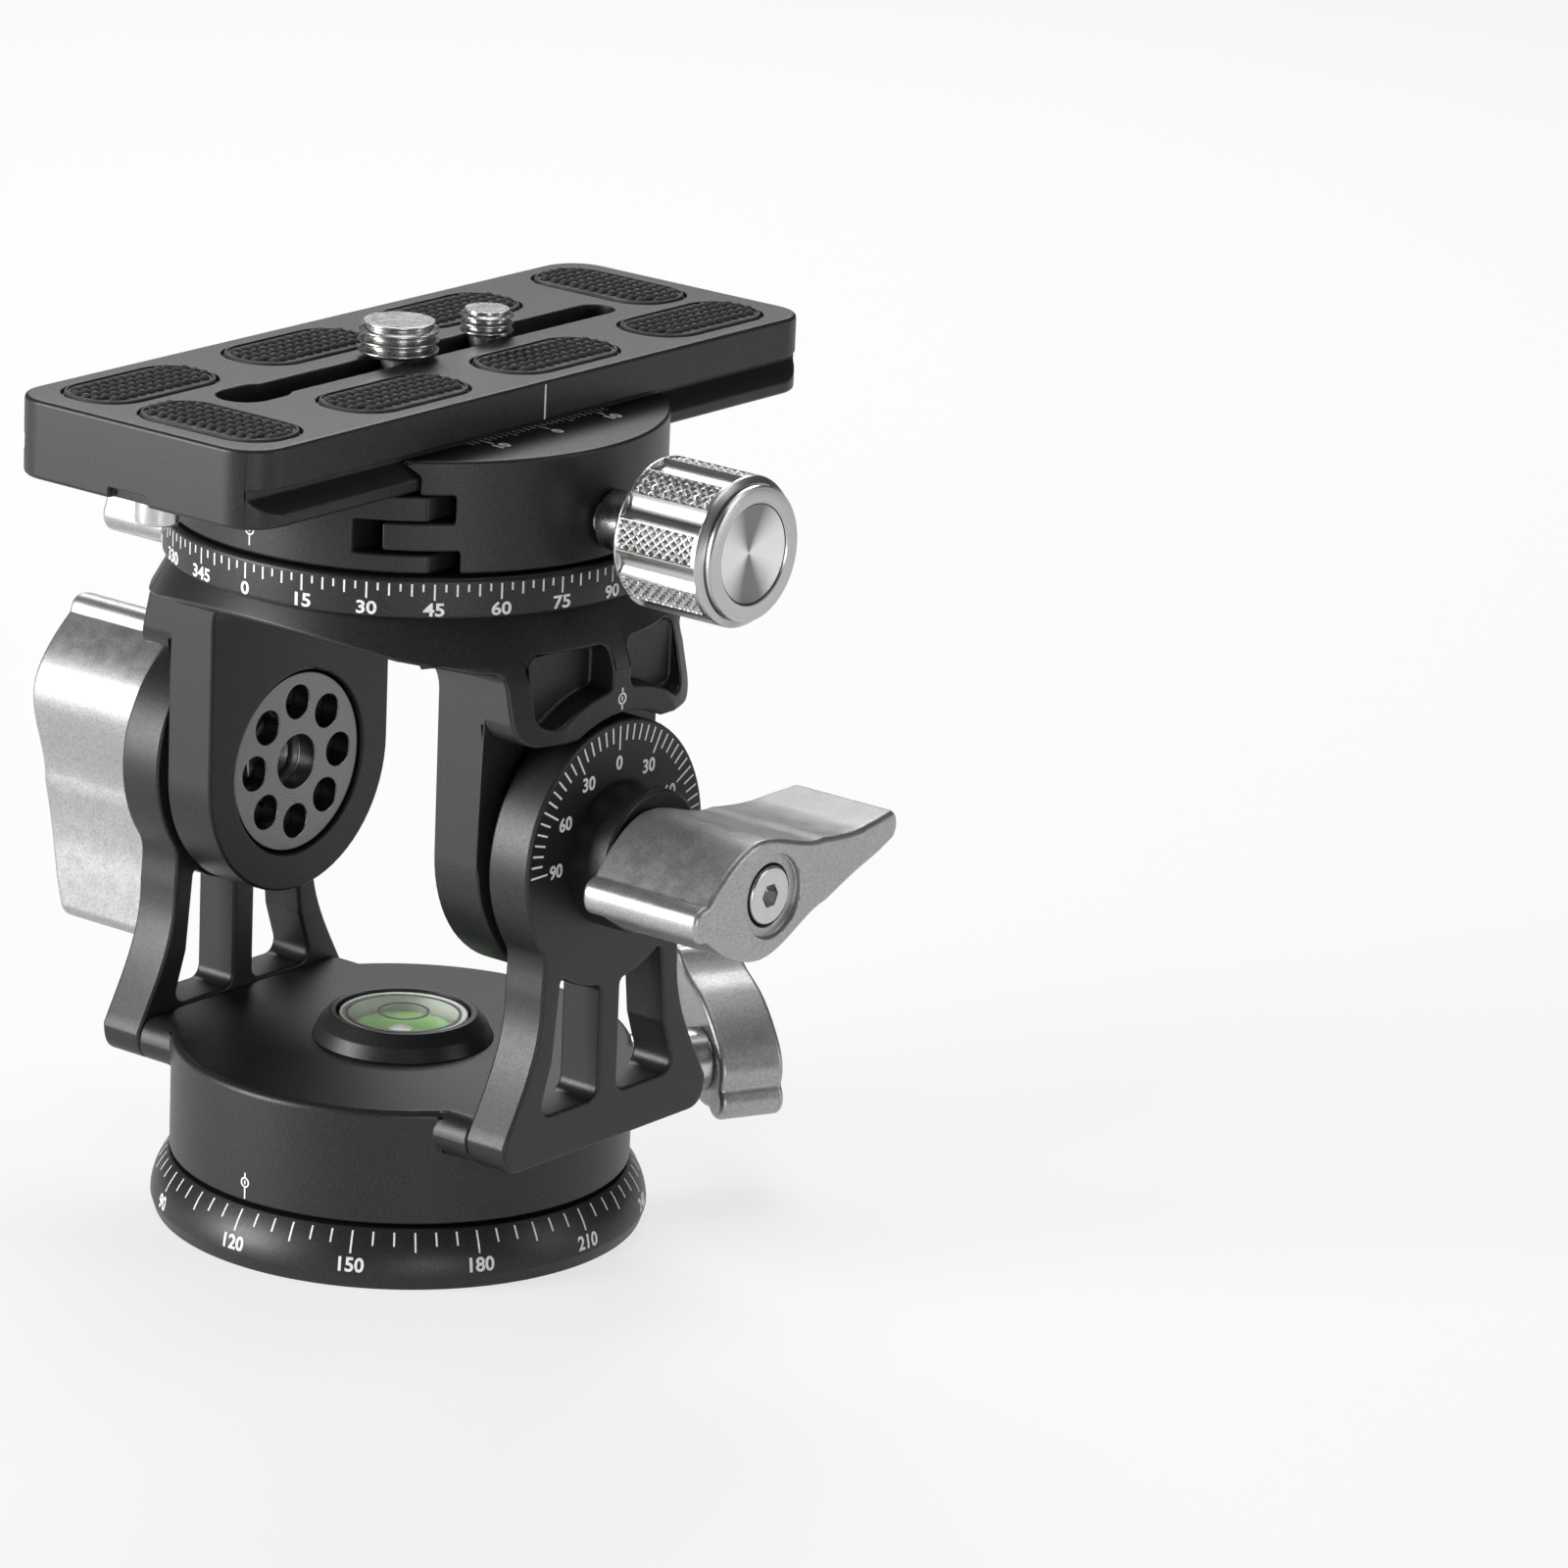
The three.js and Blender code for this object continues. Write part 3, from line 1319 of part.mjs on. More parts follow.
// Places and headings of the pads: a row on each side and one across each end
function padPlaces() {
  const places = [];
  const sideOffset = plate.halfWidth - pad.sideInset;
  const endShift = plate.halfWidth - pad.endShiftInset;
  for (const side of [-1, 1]) {
    for (let i = 0; i < pad.sideCount; i += 1) {
      places.push([side * sideOffset, side * (halfLength - pad.firstInset - i * padPitch), 0]);
    }
    places.push([-side * endShift, side * (halfLength - pad.endInset), 90]);
  }
  return places;
}

function stadium(half, end) {
  const shape = new THREE.Shape();
  shape.absarc(0, half - end, half, Math.PI, 2 * Math.PI, false);
  shape.absarc(0, end - half, half, 0, Math.PI, false);
  return shape;
}

function makePlate(head) {
  const group = new THREE.Group();
  group.position.z = plateBottom;
  head.add(group);
  const chamfer = plate.edgeChamfer;
  const inset = plate.halfWidth - chamfer;
  const insetEnd = halfLength - chamfer;
  const outline = roundedOutline([
    [-inset, -insetEnd],
    [inset, -insetEnd],
    [inset, insetEnd],
    [-inset, insetEnd],
  ], plate.cornerRadius);
  const block = solid(new THREE.ExtrudeGeometry(outline, {
    depth: plate.height - 2 * chamfer,
    bevelThickness: chamfer,
    bevelSize: chamfer,
    bevelSegments: 1,
    curveSegments: plateArcSteps,
  }).translate(0, 0, chamfer));
  const reach = plate.halfWidth + overrun;
  const rootRise = plate.lipHeight + plate.grooveDepth;
  const root = plate.halfWidth - plate.grooveDepth;
  const groove = (side) => alongY(prism(roundedOutline([
    [side * root, rootRise],
    [side * reach, plate.lipHeight - overrun],
    [side * reach, plate.flangeRise],
    [side * root, plate.flangeRise],
  ], 0), -halfLength - overrun, halfLength + overrun));
  const under = plate.height - plate.skin;
  const notchEnds = [halfLength - plate.notchDepth, halfLength + overrun];
  const notch = (side) => {
    const ends = notchEnds.map((end) => side * end);
    const low = [-plate.notchHalf, Math.min(...ends), -overrun];
    return box(low, [plate.notchHalf, Math.max(...ends), plate.notchRise]);
  };
  const keyHalfLength = plate.keyLength / 2;
  const keyMiddle = halfLength - plate.keyInset - keyHalfLength;
  const keyHole = prism(stadium(plate.keyHalf, keyHalfLength), under - overrun, plate.height + overrun);
  const cutters = [
    groove(-1),
    groove(1),
    notch(-1),
    notch(1),
    prism(stadium(plate.channelHalf, halfLength - plate.channelInset), -overrun, under),
    prism(stadium(plate.slotHalf, halfLength - plate.slotInset), under - overrun, plate.height + overrun),
    moved(keyHole, 0, -keyMiddle, 0),
  ];
  const seat = plate.height + pad.proud - pad.thickness;
  const padCut = prism(padOutline(fitGap), seat, plate.height + overrun);
  const padBody = prism(padOutline(0), seat, seat + pad.thickness);
  padPlaces().forEach(([x, y, turn], i) => {
    cutters.push(moved(spun(padCut, turn), x, y, 0));
    addPiece(group, `rubber_pad_${i + 1}`, moved(spun(padBody, turn), x, y, 0), rubberBlack);
  });
  const stopDepth = stopScrew.shankLength + fitGap;
  const stopHole = rod(stopScrew.shankRadius + fitGap, -overrun, stopDepth, smallFacets);
  const stopOffset = halfLength - stopScrew.endInset;
  for (const [side, name] of [[-1, 'front'], [1, 'rear']]) {
    cutters.push(moved(stopHole, 0, side * stopOffset, 0));
    const screw = capScrew(stopScrew, smallFacets).rotate([180, 0, 0]);
    addPiece(group, `stop_screw_${name}`, moved(screw, 0, side * stopOffset, 0), chromed);
  }
  addPiece(group, 'camera_plate', cutAll(block, cutters), blackAnodised);
  makeCameraScrew(group, 'large', largeScrew);
  makeCameraScrew(group, 'small', smallScrew);
}

// Camera screw with its slotted head under the plate's skin, and the clip that it turns in
function makeCameraScrew(group, name, size) {
  const under = plate.height - plate.skin;
  const clipTop = under - clip.topGap;
  const clipBottom = clipTop - clip.thickness;
  const headTop = clipBottom - clip.screwGap;
  const headBottom = clip.headRecess;
  const threadBottom = plate.height + size.threadRise;
  const threadTop = plate.height + size.threadHeight;
  const pitch = (threadTop - threadBottom) / size.ridges;
  const ridges = [];
  for (let i = 0; i < size.ridges; i += 1) {
    const low = threadBottom + i * pitch;
    ridges.push([size.threadRadius - size.ridgeDepth, low + pitch * ridgeShares.root]);
    ridges.push([size.threadRadius, low + pitch * ridgeShares.crest]);
    ridges.push([size.threadRadius, low + pitch * ridgeShares.crestEnd]);
  }
  const profile = [
    [0, headBottom],
    [size.headRadius, headBottom],
    [size.headRadius, headTop],
    [size.neckRadius, headTop],
    [size.neckRadius, threadBottom],
    [size.threadRadius - size.ridgeDepth, threadBottom],
    ...ridges,
    [size.threadRadius - size.ridgeDepth, threadTop],
    [0, threadTop],
  ];
  const reach = size.headRadius + overrun;
  const driveTop = [reach, size.driveHalf, headBottom + size.driveDepth];
  const drive = box([-reach, -size.driveHalf, headBottom - overrun], driveTop);
  const screw = turned(profile, midFacets).subtract(drive);
  addPiece(group, `${name}_screw`, moved(screw, 0, size.place, 0), chromed);
  const sheet = roundedOutline([
    [-clip.halfWidth, -size.clipHalfLength],
    [clip.halfWidth, -size.clipHalfLength],
    [clip.halfWidth, size.clipHalfLength],
    [-clip.halfWidth, size.clipHalfLength],
  ], clip.cornerRadius);
  const hole = rod(size.neckRadius + fitGap, clipBottom - overrun, clipTop + overrun, smallFacets);
  const slider = prism(sheet, clipBottom, clipTop).subtract(hole);
  addPiece(group, `${name}_clip`, moved(slider, 0, size.place, 0), springSteel);
}

const head = new THREE.Group();
makeBase(head);
makeHousing(head);
makeLevel(head);
makePanLock(head);
makeTiltSide(head, 'right', lever.rightTailDegrees);
makeTiltSide(head, 'left', lever.leftTailDegrees);
makeYoke(head);
makeScaleRing(head);
makeClamp(head);
makePlate(head);

export default head;
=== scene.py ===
import json
import math

import bmesh
import bpy
from mathutils import Matrix, Vector
from mathutils.geometry import delaunay_2d_cdt


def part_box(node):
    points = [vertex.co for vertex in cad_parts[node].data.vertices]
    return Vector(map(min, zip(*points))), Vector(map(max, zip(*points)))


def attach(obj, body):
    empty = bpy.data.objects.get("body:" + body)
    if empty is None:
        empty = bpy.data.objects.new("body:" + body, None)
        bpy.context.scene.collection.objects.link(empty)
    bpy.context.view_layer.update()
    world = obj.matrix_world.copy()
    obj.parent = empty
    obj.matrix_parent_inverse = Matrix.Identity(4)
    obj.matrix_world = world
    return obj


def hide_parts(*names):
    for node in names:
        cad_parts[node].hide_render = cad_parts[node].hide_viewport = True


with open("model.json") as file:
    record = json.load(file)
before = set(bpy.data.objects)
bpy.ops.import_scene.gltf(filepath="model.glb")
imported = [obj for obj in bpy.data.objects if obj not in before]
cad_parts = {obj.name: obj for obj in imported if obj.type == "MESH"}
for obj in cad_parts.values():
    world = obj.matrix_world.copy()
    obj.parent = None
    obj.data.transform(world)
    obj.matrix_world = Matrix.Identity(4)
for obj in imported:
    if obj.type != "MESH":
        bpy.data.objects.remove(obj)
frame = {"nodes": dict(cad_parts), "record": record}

# Looks of a two-way panoramic tripod head. Sizes are written in millimetres.
mm = 0.001
fullTurn = 2 * math.pi
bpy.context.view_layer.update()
bodyOfNode = {
    node: body
    for body, members in frame["record"]["behaviour"]["bodies"].items()
    for node in members
}
print("head loaded:", len(frame["nodes"]), "solids")


def span(node, axis):
    low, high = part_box(node)
    return low[axis] / mm, high[axis] / mm


def middle(node, axis):
    return sum(span(node, axis)) / 2


tiltAxis = middle("tilt_nut_right", 2)
clampFoot = span("clamp_base", 2)[0]
plateFoot = span("camera_plate", 2)[0]

# Steps round a turn, a curve or an edge
fine = {
    "wide": 144, "mid": 72, "small": 36, "arc": 12, "corner": 4, "lip": 5, "bend": 6, "arch": 8, "sweep": 10,
    "pad": 12, "slotEnd": 14, "edgeArc": 5, "least": 4,
}
weldAt = {"plain": 0.004, "slab": 0.002, "marks": 0.0005, "carved": 0.01, "yoke": 0.04}  # nearer points join
closeTo = {"axis": 0.001, "point": 0.02, "flat": 1e-6}
spare = 1  # how far a cutter reaches past what it cuts
hair = 0.1  # rounds on edges
crisp = 0.2
soft = 0.3
broad = 0.5


# Node helpers
def addNode(paint, kind, values=None, **settings):
    node = paint.node_tree.nodes.new(kind)
    for name, value in settings.items():
        setattr(node, name, value)
    for name, value in (values or {}).items():
        node.inputs[name].default_value = value
    return node


def join(paint, output, target):
    paint.node_tree.links.new(output, target)


def startPaint(name, **sockets):
    paint = bpy.data.materials.new(name)
    paint.use_nodes = True
    shader = paint.node_tree.nodes["Principled BSDF"]
    for key, value in sockets.items():
        shader.inputs[key.replace("_", " ")].default_value = value
    return paint, shader


def grain(paint, perMm, detail=2.0, stretch=(1, 1, 1), place=(0, 0, 0)):
    coords = addNode(paint, "ShaderNodeTexCoord")
    scaled = addNode(paint, "ShaderNodeMapping")
    scaled.inputs["Location"].default_value = place
    scaled.inputs["Scale"].default_value = [part / mm for part in stretch]
    join(paint, coords.outputs["Object"], scaled.inputs["Vector"])
    noise = addNode(paint, "ShaderNodeTexNoise", {"Scale": perMm, "Detail": detail, "Roughness": 0.6})
    join(paint, scaled.outputs["Vector"], noise.inputs["Vector"])
    return noise.outputs["Fac"]


def ringGrain(paint, axis, centre, perMm):  # fine turning lines round an axis through a centre in mm
    coords = addNode(paint, "ShaderNodeTexCoord")
    flat = addNode(paint, "ShaderNodeMapping", vector_type="TEXTURE")
    flat.inputs["Location"].default_value = [part * mm for part in centre]
    join(paint, coords.outputs["Object"], flat.inputs["Vector"])
    squash = addNode(paint, "ShaderNodeVectorMath", operation="MULTIPLY")
    squash.inputs[1].default_value = [0 if i == axis else 1 / mm for i in range(3)]
    join(paint, flat.outputs["Vector"], squash.inputs[0])
    reach = addNode(paint, "ShaderNodeVectorMath", operation="LENGTH")
    join(paint, squash.outputs["Vector"], reach.inputs[0])
    noise = addNode(paint, "ShaderNodeTexNoise", {"Scale": perMm, "Detail": 3.0}, noise_dimensions="1D")
    join(paint, reach.outputs["Value"], noise.inputs["W"])
    return noise.outputs["Fac"]


def spread(paint, factor, low, high, near=0.35, far=0.65):
    ramp = addNode(paint, "ShaderNodeMapRange", {
        "From Min": near, "From Max": far, "To Min": low, "To Max": high,
    })
    join(paint, factor, ramp.inputs["Value"])
    return ramp.outputs["Result"]


def tint(paint, shader, factor, dark, light, near=0.35, far=0.65):
    ramp = addNode(paint, "ShaderNodeValToRGB")
    for stop, place, colour in zip(ramp.color_ramp.elements, (near, far), (dark, light)):
        stop.position = place
        stop.color = (*colour, 1)
    join(paint, factor, ramp.inputs["Fac"])
    join(paint, ramp.outputs["Color"], shader.inputs["Base Color"])


def rough(paint, shader, factor, low, high):
    join(paint, spread(paint, factor, low, high), shader.inputs["Roughness"])


def bumpy(paint, shader, factor, strength, heightMm):
    bump = addNode(paint, "ShaderNodeBump", {"Strength": strength, "Distance": heightMm * mm})
    join(paint, factor, bump.inputs["Height"])
    join(paint, bump.outputs["Normal"], shader.inputs["Normal"])


# Finishes: grain or turning lines give the colour, and the sheen and bump that have no grain of their own
knobMiddle = (0, middle("knob_cap", 1), middle("knob_cap", 2))
tiltMiddle = (0, 0, tiltAxis)
finishes = {
    "black_anodised": {  # bead-blasted aluminium, dyed black: satin with a fine sparkle
        "name": "blasted black", "metal": 0.3, "grain": (4.5, 3.0), "dark": (0.009, 0.0095, 0.01),
        "light": (0.027, 0.028, 0.029), "stops": (0.36, 0.72), "sheen": (0.4, 0.45), "sheenGrain": 2.2,
        "bump": (0.3, 0.02),
    },
    "black_steel": {
        "name": "black steel", "metal": 0.6, "grain": (0.6, 4.0), "dark": (0.02, 0.02, 0.02),
        "light": (0.045, 0.045, 0.046), "sheen": (0.22, 0.34), "bump": (0.1, 0.01), "bumpGrain": 3.0,
    },
    "blasted_silver": {
        "name": "blasted silver", "metal": 0.85, "grain": (3.2, 3.0), "dark": (0.31, 0.315, 0.32),
        "light": (0.43, 0.435, 0.44), "sheen": (0.36, 0.44), "sheenGrain": 0.5, "bump": (0.22, 0.02),
    },
    "turned_silver": {
        "name": "turned silver, knob", "metal": 1.0, "lines": (0, knobMiddle, 9.0),
        "dark": (0.42, 0.42, 0.4116), "light": (0.56, 0.56, 0.5488), "sheen": (0.27, 0.36),
        "bump": (0.25, 0.012),
    },
    "chromed_steel": {
        "name": "bright chrome", "metal": 1.0, "grain": (0.8, 3.0), "dark": (0.54, 0.54, 0.53),
        "light": (0.58, 0.58, 0.57), "sheen": (0.25, 0.29), "bump": (0.03, 0.004), "bumpGrain": 2.5,
    },
    "spring_steel": {
        "name": "spring steel", "metal": 0.9, "grain": (1.6, 4.0, (1, 0.08, 1)), "dark": (0.24, 0.24, 0.235),
        "light": (0.36, 0.36, 0.35), "sheen": (0.28, 0.4), "bump": (0.12, 0.01),
    },
    "turned_brass": {
        "name": "turned brass", "metal": 1.0, "lines": (2, (0, 0, 0), 7.0), "dark": (0.44, 0.29, 0.1),
        "light": (0.58, 0.4, 0.16), "sheen": (0.26, 0.38), "bump": (0.2, 0.012),
    },
    "pad_rubber": {
        "name": "pad rubber", "metal": 0.0, "grain": (3.5, 4.0), "dark": (0.024, 0.025, 0.026),
        "light": (0.042, 0.043, 0.045), "sheen": (0.62, 0.78), "sheenGrain": 0.4, "bump": (0.4, 0.03),
    },
    "slip_plastic": {
        "name": "slip plastic", "metal": 0.0, "grain": (0.5, 4.0), "dark": (0.62, 0.6, 0.54),
        "light": (0.72, 0.7, 0.64), "sheen": (0.42, 0.55),
    },
    "level_cup": {
        "name": "level cup", "metal": 0.0, "grain": (0.6, 3.0), "dark": (0.68, 0.7, 0.66),
        "light": (0.78, 0.8, 0.76), "sheen": (0.3, 0.4),
    },
    "level_liquid": {
        "name": "green liquid", "metal": 0.0, "grain": (0.18, 2.0), "dark": (0.3, 0.8, 0.1),
        "light": (0.42, 0.92, 0.16), "sheen": (0.12, 0.2), "sockets": {"Coat_Weight": 0.6},
    },
    "level_lens": {
        "name": "clear lens", "metal": 0.0, "grain": (0.3, 2.0), "dark": (0.84, 0.92, 0.82),
        "light": (0.92, 0.97, 0.9), "sheen": (0.03, 0.07), "sockets": {"Alpha": 0.16, "IOR": 1.49},
    },
}
# painted shade: a darker copy of the turned silver for the nuts that sit in the yoke's recesses
nutShadedFinish = {
    **finishes["turned_silver"], "name": "turned silver, nuts, painted shade", "lines": (0, tiltMiddle, 9.0),
    "dark": (0.14, 0.14, 0.1372), "light": (0.22, 0.22, 0.2156),
}
markFinish = {
    "name": "white marks", "metal": 0.0, "grain": (3.0, 2.0), "dark": (0.6, 0.61, 0.61),
    "light": (0.8, 0.81, 0.81), "stops": (0.3, 0.5), "sheen": (0.45, 0.6),
}
ringFinish = {
    "name": "black rings", "metal": 0.0, "grain": (3.0, 2.0), "dark": (0.006, 0.007, 0.007),
    "light": (0.014, 0.015, 0.015), "sheen": (0.35, 0.5),
}


def mixed(s):
    paint, shader = startPaint(s["name"], Metallic=s["metal"], **s.get("sockets", {}))
    film = ringGrain(paint, *s["lines"]) if "lines" in s else grain(paint, *s["grain"])
    tint(paint, shader, film, s["dark"], s["light"], *s.get("stops", ()))
    sheenFilm = grain(paint, s["sheenGrain"]) if "sheenGrain" in s else film
    rough(paint, shader, sheenFilm, *s["sheen"])
    if "bump" in s:
        bumpFilm = grain(paint, s["bumpGrain"]) if "bumpGrain" in s else film
        bumpy(paint, shader, bumpFilm, *s["bump"])
    return paint


def spunDisc():  # painted highlight: two bright fans are painted into the colour by the angle round the axis, over fine facing lines in the roughness and bump
    paint, shader = startPaint("spun disc, painted highlight fans", Metallic=1.0, Anisotropic=0.4)
    coords = addNode(paint, "ShaderNodeTexCoord")
    centred = addNode(paint, "ShaderNodeVectorMath", operation="SUBTRACT")
    centred.inputs[1].default_value = [part * mm for part in knobMiddle]
    join(paint, coords.outputs["Object"], centred.inputs[0])
    flat = addNode(paint, "ShaderNodeVectorMath", operation="MULTIPLY")
    flat.inputs[1].default_value = (0, 1, 1)
    join(paint, centred.outputs["Vector"], flat.inputs[0])
    facing = addNode(paint, "ShaderNodeVectorMath", operation="NORMALIZE")
    join(paint, flat.outputs["Vector"], facing.inputs[0])
    parts = addNode(paint, "ShaderNodeSeparateXYZ")
    join(paint, facing.outputs["Vector"], parts.inputs["Vector"])
    across = addNode(paint, "ShaderNodeMath", operation="ABSOLUTE")
    join(paint, parts.outputs["Y"], across.inputs[0])
    # painted highlight: dark above and below the axis, light at the sides, so two bright fans show in the
    # colour
    tint(paint, shader, across.outputs["Value"], (0.2, 0.205, 0.205), (0.78, 0.78, 0.77), 0.3, 0.95)
    lines = ringGrain(paint, 0, knobMiddle, 12.0)
    rough(paint, shader, lines, 0.3, 0.42)
    bumpy(paint, shader, lines, 0.2, 0.01)
    return paint


paints = {slot: mixed(finish) for slot, finish in finishes.items()}
nutShadedPaint = mixed(nutShadedFinish)
paintedFanDiscPaint = spunDisc()
markPaint = mixed(markFinish)
ringPaint = mixed(ringFinish)
print("finishes mixed:", len(bpy.data.materials))


# Outlines: lists of (x, y) in mm
cornerLimits = {"straight": 3.1, "side": 2.02, "lean": 0.4}  # no rounds on near straights or past half a side


def roundedCorners(points, radius, steps=None, closed=True):  # a point's third value is its own radius
    steps = steps or fine["corner"]
    out = []
    for i, point in enumerate(points):
        corner = Vector(point[:2])
        wanted = point[2] if len(point) > 2 else radius
        before = Vector(points[i - 1][:2]) - corner
        after = Vector(points[(i + 1) % len(points)][:2]) - corner
        turn = before.angle(after, math.pi)
        atEnd = not closed and i in (0, len(points) - 1)
        if wanted <= 0 or atEnd or turn > cornerLimits["straight"]:
            out.append((corner.x, corner.y))
            continue
        longest = min(before.length, after.length) / cornerLimits["side"]
        cut = min(wanted / math.tan(turn / 2), longest)
        arcRadius = cut * math.tan(turn / 2)
        inward = (before.normalized() + after.normalized()).normalized()
        centre = corner + inward * arcRadius / math.sin(turn / 2)
        first = corner + before.normalized() * cut - centre
        last = corner + after.normalized() * cut - centre
        start = math.atan2(first.y, first.x)
        sweep = (math.atan2(last.y, last.x) - start + math.pi) % fullTurn - math.pi
        for k in range(steps + 1):
            angle = start + sweep * k / steps
            out.append((centre.x + arcRadius * math.cos(angle), centre.y + arcRadius * math.sin(angle)))
    return out


# A stroke is ("line", end), ("curve", controls..., end) or ("arc", centre, radius, from, to)
def drawn(start, *strokes):
    points = [start]
    for kind, *rest in strokes:
        if kind == "line":
            points.append(rest[0])
        elif kind == "curve":
            pulls = [Vector(p) for p in (points[-1], *rest)]
            for k in range(1, fine["arc"] + 1):
                share = k / fine["arc"]
                layer = pulls
                while len(layer) > 1:
                    layer = [a.lerp(b, share) for a, b in zip(layer, layer[1:])]
                points.append((layer[0].x, layer[0].y))
        else:
            (cx, cy), radius, begin, end = rest
            count = max(fine["least"], round(abs(end - begin) / fullTurn * fine["mid"]))
            for k in range(count + 1):
                angle = begin + (end - begin) * k / count
                points.append((cx + radius * math.cos(angle), cy + radius * math.sin(angle)))
    clean = []
    for point in points:
        if not clean or math.dist(point, clean[-1]) > closeTo["point"]:
            clean.append(point)
    if math.dist(clean[0], clean[-1]) < closeTo["point"]:
        clean.pop()
    return clean


def around(radius, k, steps, centre=(0, 0)):  # one of so many points round a circle
    angle = fullTurn * k / steps
    return centre[0] + radius * math.cos(angle), centre[1] + radius * math.sin(angle)


def circle(radius, steps=None, centre=(0, 0)):
    steps = steps or fine["mid"]
    return [around(radius, k, steps, centre) for k in range(steps)]


def hexagon(across):
    return circle(across / 2 / math.cos(math.pi / 6), 6)


def oblong(half, length):
    return [(-half, -length), (half, -length), (half, length), (-half, length)]


def mirrored(points):
    return [(-point[0], *point[1:]) for point in reversed(points)]


# Meshes in mm, built along Z
def meshFrom(points, faces, weld=weldAt["plain"]):
    mesh = bpy.data.meshes.new("work")
    mesh.from_pydata([tuple(point) for point in points], [], faces)
    tidy = bmesh.new()
    tidy.from_mesh(mesh)
    bmesh.ops.remove_doubles(tidy, verts=tidy.verts, dist=weld)
    bmesh.ops.recalc_face_normals(tidy, faces=tidy.faces)
    tidy.to_mesh(mesh)
    tidy.free()
    return mesh


def turned(profile, steps=None):  # (radius, height) points that end on the axis or close on themselves
    steps = steps or fine["mid"]
    points, rings = [], []
    for radius, height in profile:
        if radius < closeTo["axis"]:
            rings.append([len(points)] * steps)
            points.append((0, 0, height))
        else:
            rings.append(list(range(len(points), len(points) + steps)))
            for k in range(steps):
                points.append((*around(radius, k, steps), height))
    onAxis = profile[0][0] < closeTo["axis"] and profile[-1][0] < closeTo["axis"]
    pairs = list(zip(rings, rings[1:])) + ([] if onAxis else [(rings[-1], rings[0])])
    faces = []
    for one, two in pairs:
        for i in range(steps):
            j = (i + 1) % steps
            face = list(dict.fromkeys((one[i], one[j], two[j], two[i])))
            if len(face) > 2:
                faces.append(face)
    return meshFrom(points, faces)


def lathe(corners, steps=None, closed=True, rounds=None):  # each corner is (radius, height, round)
    return turned(roundedCorners(corners, 0, rounds, closed), steps)


def tube(bore, radius, low, high, edge):
    return turned(roundedCorners([(bore, low), (radius, low), (radius, high), (bore, high)], edge))


def rod(radius, low, high, steps=None):
    return turned([(0, low), (radius, low), (radius, high), (0, high)], steps or fine["small"])


def inward(loop):  # how far each point moves for one step into the solid, which lies on the loop's left
    moves = []
    for i, point in enumerate(loop):
        here = Vector(point[:2])
        before = (here - Vector(loop[i - 1][:2])).normalized()
        after = (Vector(loop[(i + 1) % len(loop)][:2]) - here).normalized()
        across = Vector((-before.y - after.y, before.x + after.x))
        lean = across.dot(Vector((-before.y, before.x)))
        moves.append(across / max(lean, cornerLimits["lean"]))
    return moves


def areaOf(loop):
    return sum(a[0] * b[1] - b[0] * a[1] for a, b in zip(loop, loop[1:] + loop[:1])) / 2


def edgeLevels(low, high, edge, rounds):  # (inset, height) pairs up a wall with rounded edges
    if edge <= 0:
        return [(0, low), (0, high)]
    turns = [math.pi / 2 * k / rounds for k in range(rounds + 1)]
    foot = [(edge * (1 - math.sin(turn)), low + edge * (1 - math.cos(turn))) for turn in turns]
    head = [(inset, low + high - height) for inset, height in reversed(foot)]
    return foot + head


def within(x, y, sides):  # between an odd number of sides, so in the outline and in none of its holes
    crossed = False
    for (ax, ay), (bx, by) in sides:
        if (ay > y) != (by > y) and x < ax + (y - ay) * (bx - ax) / (by - ay):
            crossed = not crossed
    return crossed


def slab(outline, low, high, holes=(), edge=0.0, rounds=3):  # flat outline pushed up, with rounded edges
    loops = [list(outline) if areaOf(list(outline)) > 0 else list(reversed(outline))]
    loops += [list(hole) if areaOf(list(hole)) < 0 else list(reversed(hole)) for hole in holes]
    levels = edgeLevels(low, high, edge, rounds)
    points, faces, caps = [], [], []
    for inset, height in levels:
        for loop in loops:
            for point, move in zip(loop, inward(loop)):
                points.append((point[0] + move.x * inset, point[1] + move.y * inset, height))
    total = sum(len(loop) for loop in loops)
    base = 0
    ringEdges = []
    for loop in loops:
        count = len(loop)
        for i in range(count):
            one, two = base + i, base + (i + 1) % count
            ringEdges.append((one, two))
            for level in range(len(levels) - 1):
                below = level * total
                faces.append((below + one, below + two, below + total + two, below + total + one))
        base += count
    flat = [Vector(point[:2]) for point in points[:total]]
    sides = [(tuple(flat[one]), tuple(flat[two])) for one, two in ringEdges]
    found = delaunay_2d_cdt(flat, ringEdges, [], 0, closeTo["flat"])
    for face in found[2]:
        centre = sum((found[0][index] for index in face), Vector((0, 0))) / 3
        if within(centre.x, centre.y, sides):
            caps.append([found[3][index][0] for index in face])
    top = (len(levels) - 1) * total
    faces += [list(reversed(cap)) for cap in caps]
    faces += [[top + index for index in cap] for cap in caps]
    return meshFrom(points, faces, weldAt["slab"])


def block(low, high):
    corners = [(x, y, z) for x in (low[0], high[0]) for y in (low[1], high[1]) for z in (low[2], high[2])]
    sides = [(0, 1, 3, 2), (4, 6, 7, 5), (0, 4, 5, 1), (2, 3, 7, 6), (0, 2, 6, 4), (1, 5, 7, 3)]
    return meshFrom(corners, sides)


uprightToX = Matrix(((0, 0, 1, 0), (1, 0, 0, 0), (0, 1, 0, 0), (0, 0, 0, 1)))  # local X to Y, Y to Z, Z to X
uprightToY = Matrix(((1, 0, 0, 0), (0, 0, -1, 0), (0, 1, 0, 0), (0, 0, 0, 1)))  # local Y to Z, Z to -Y


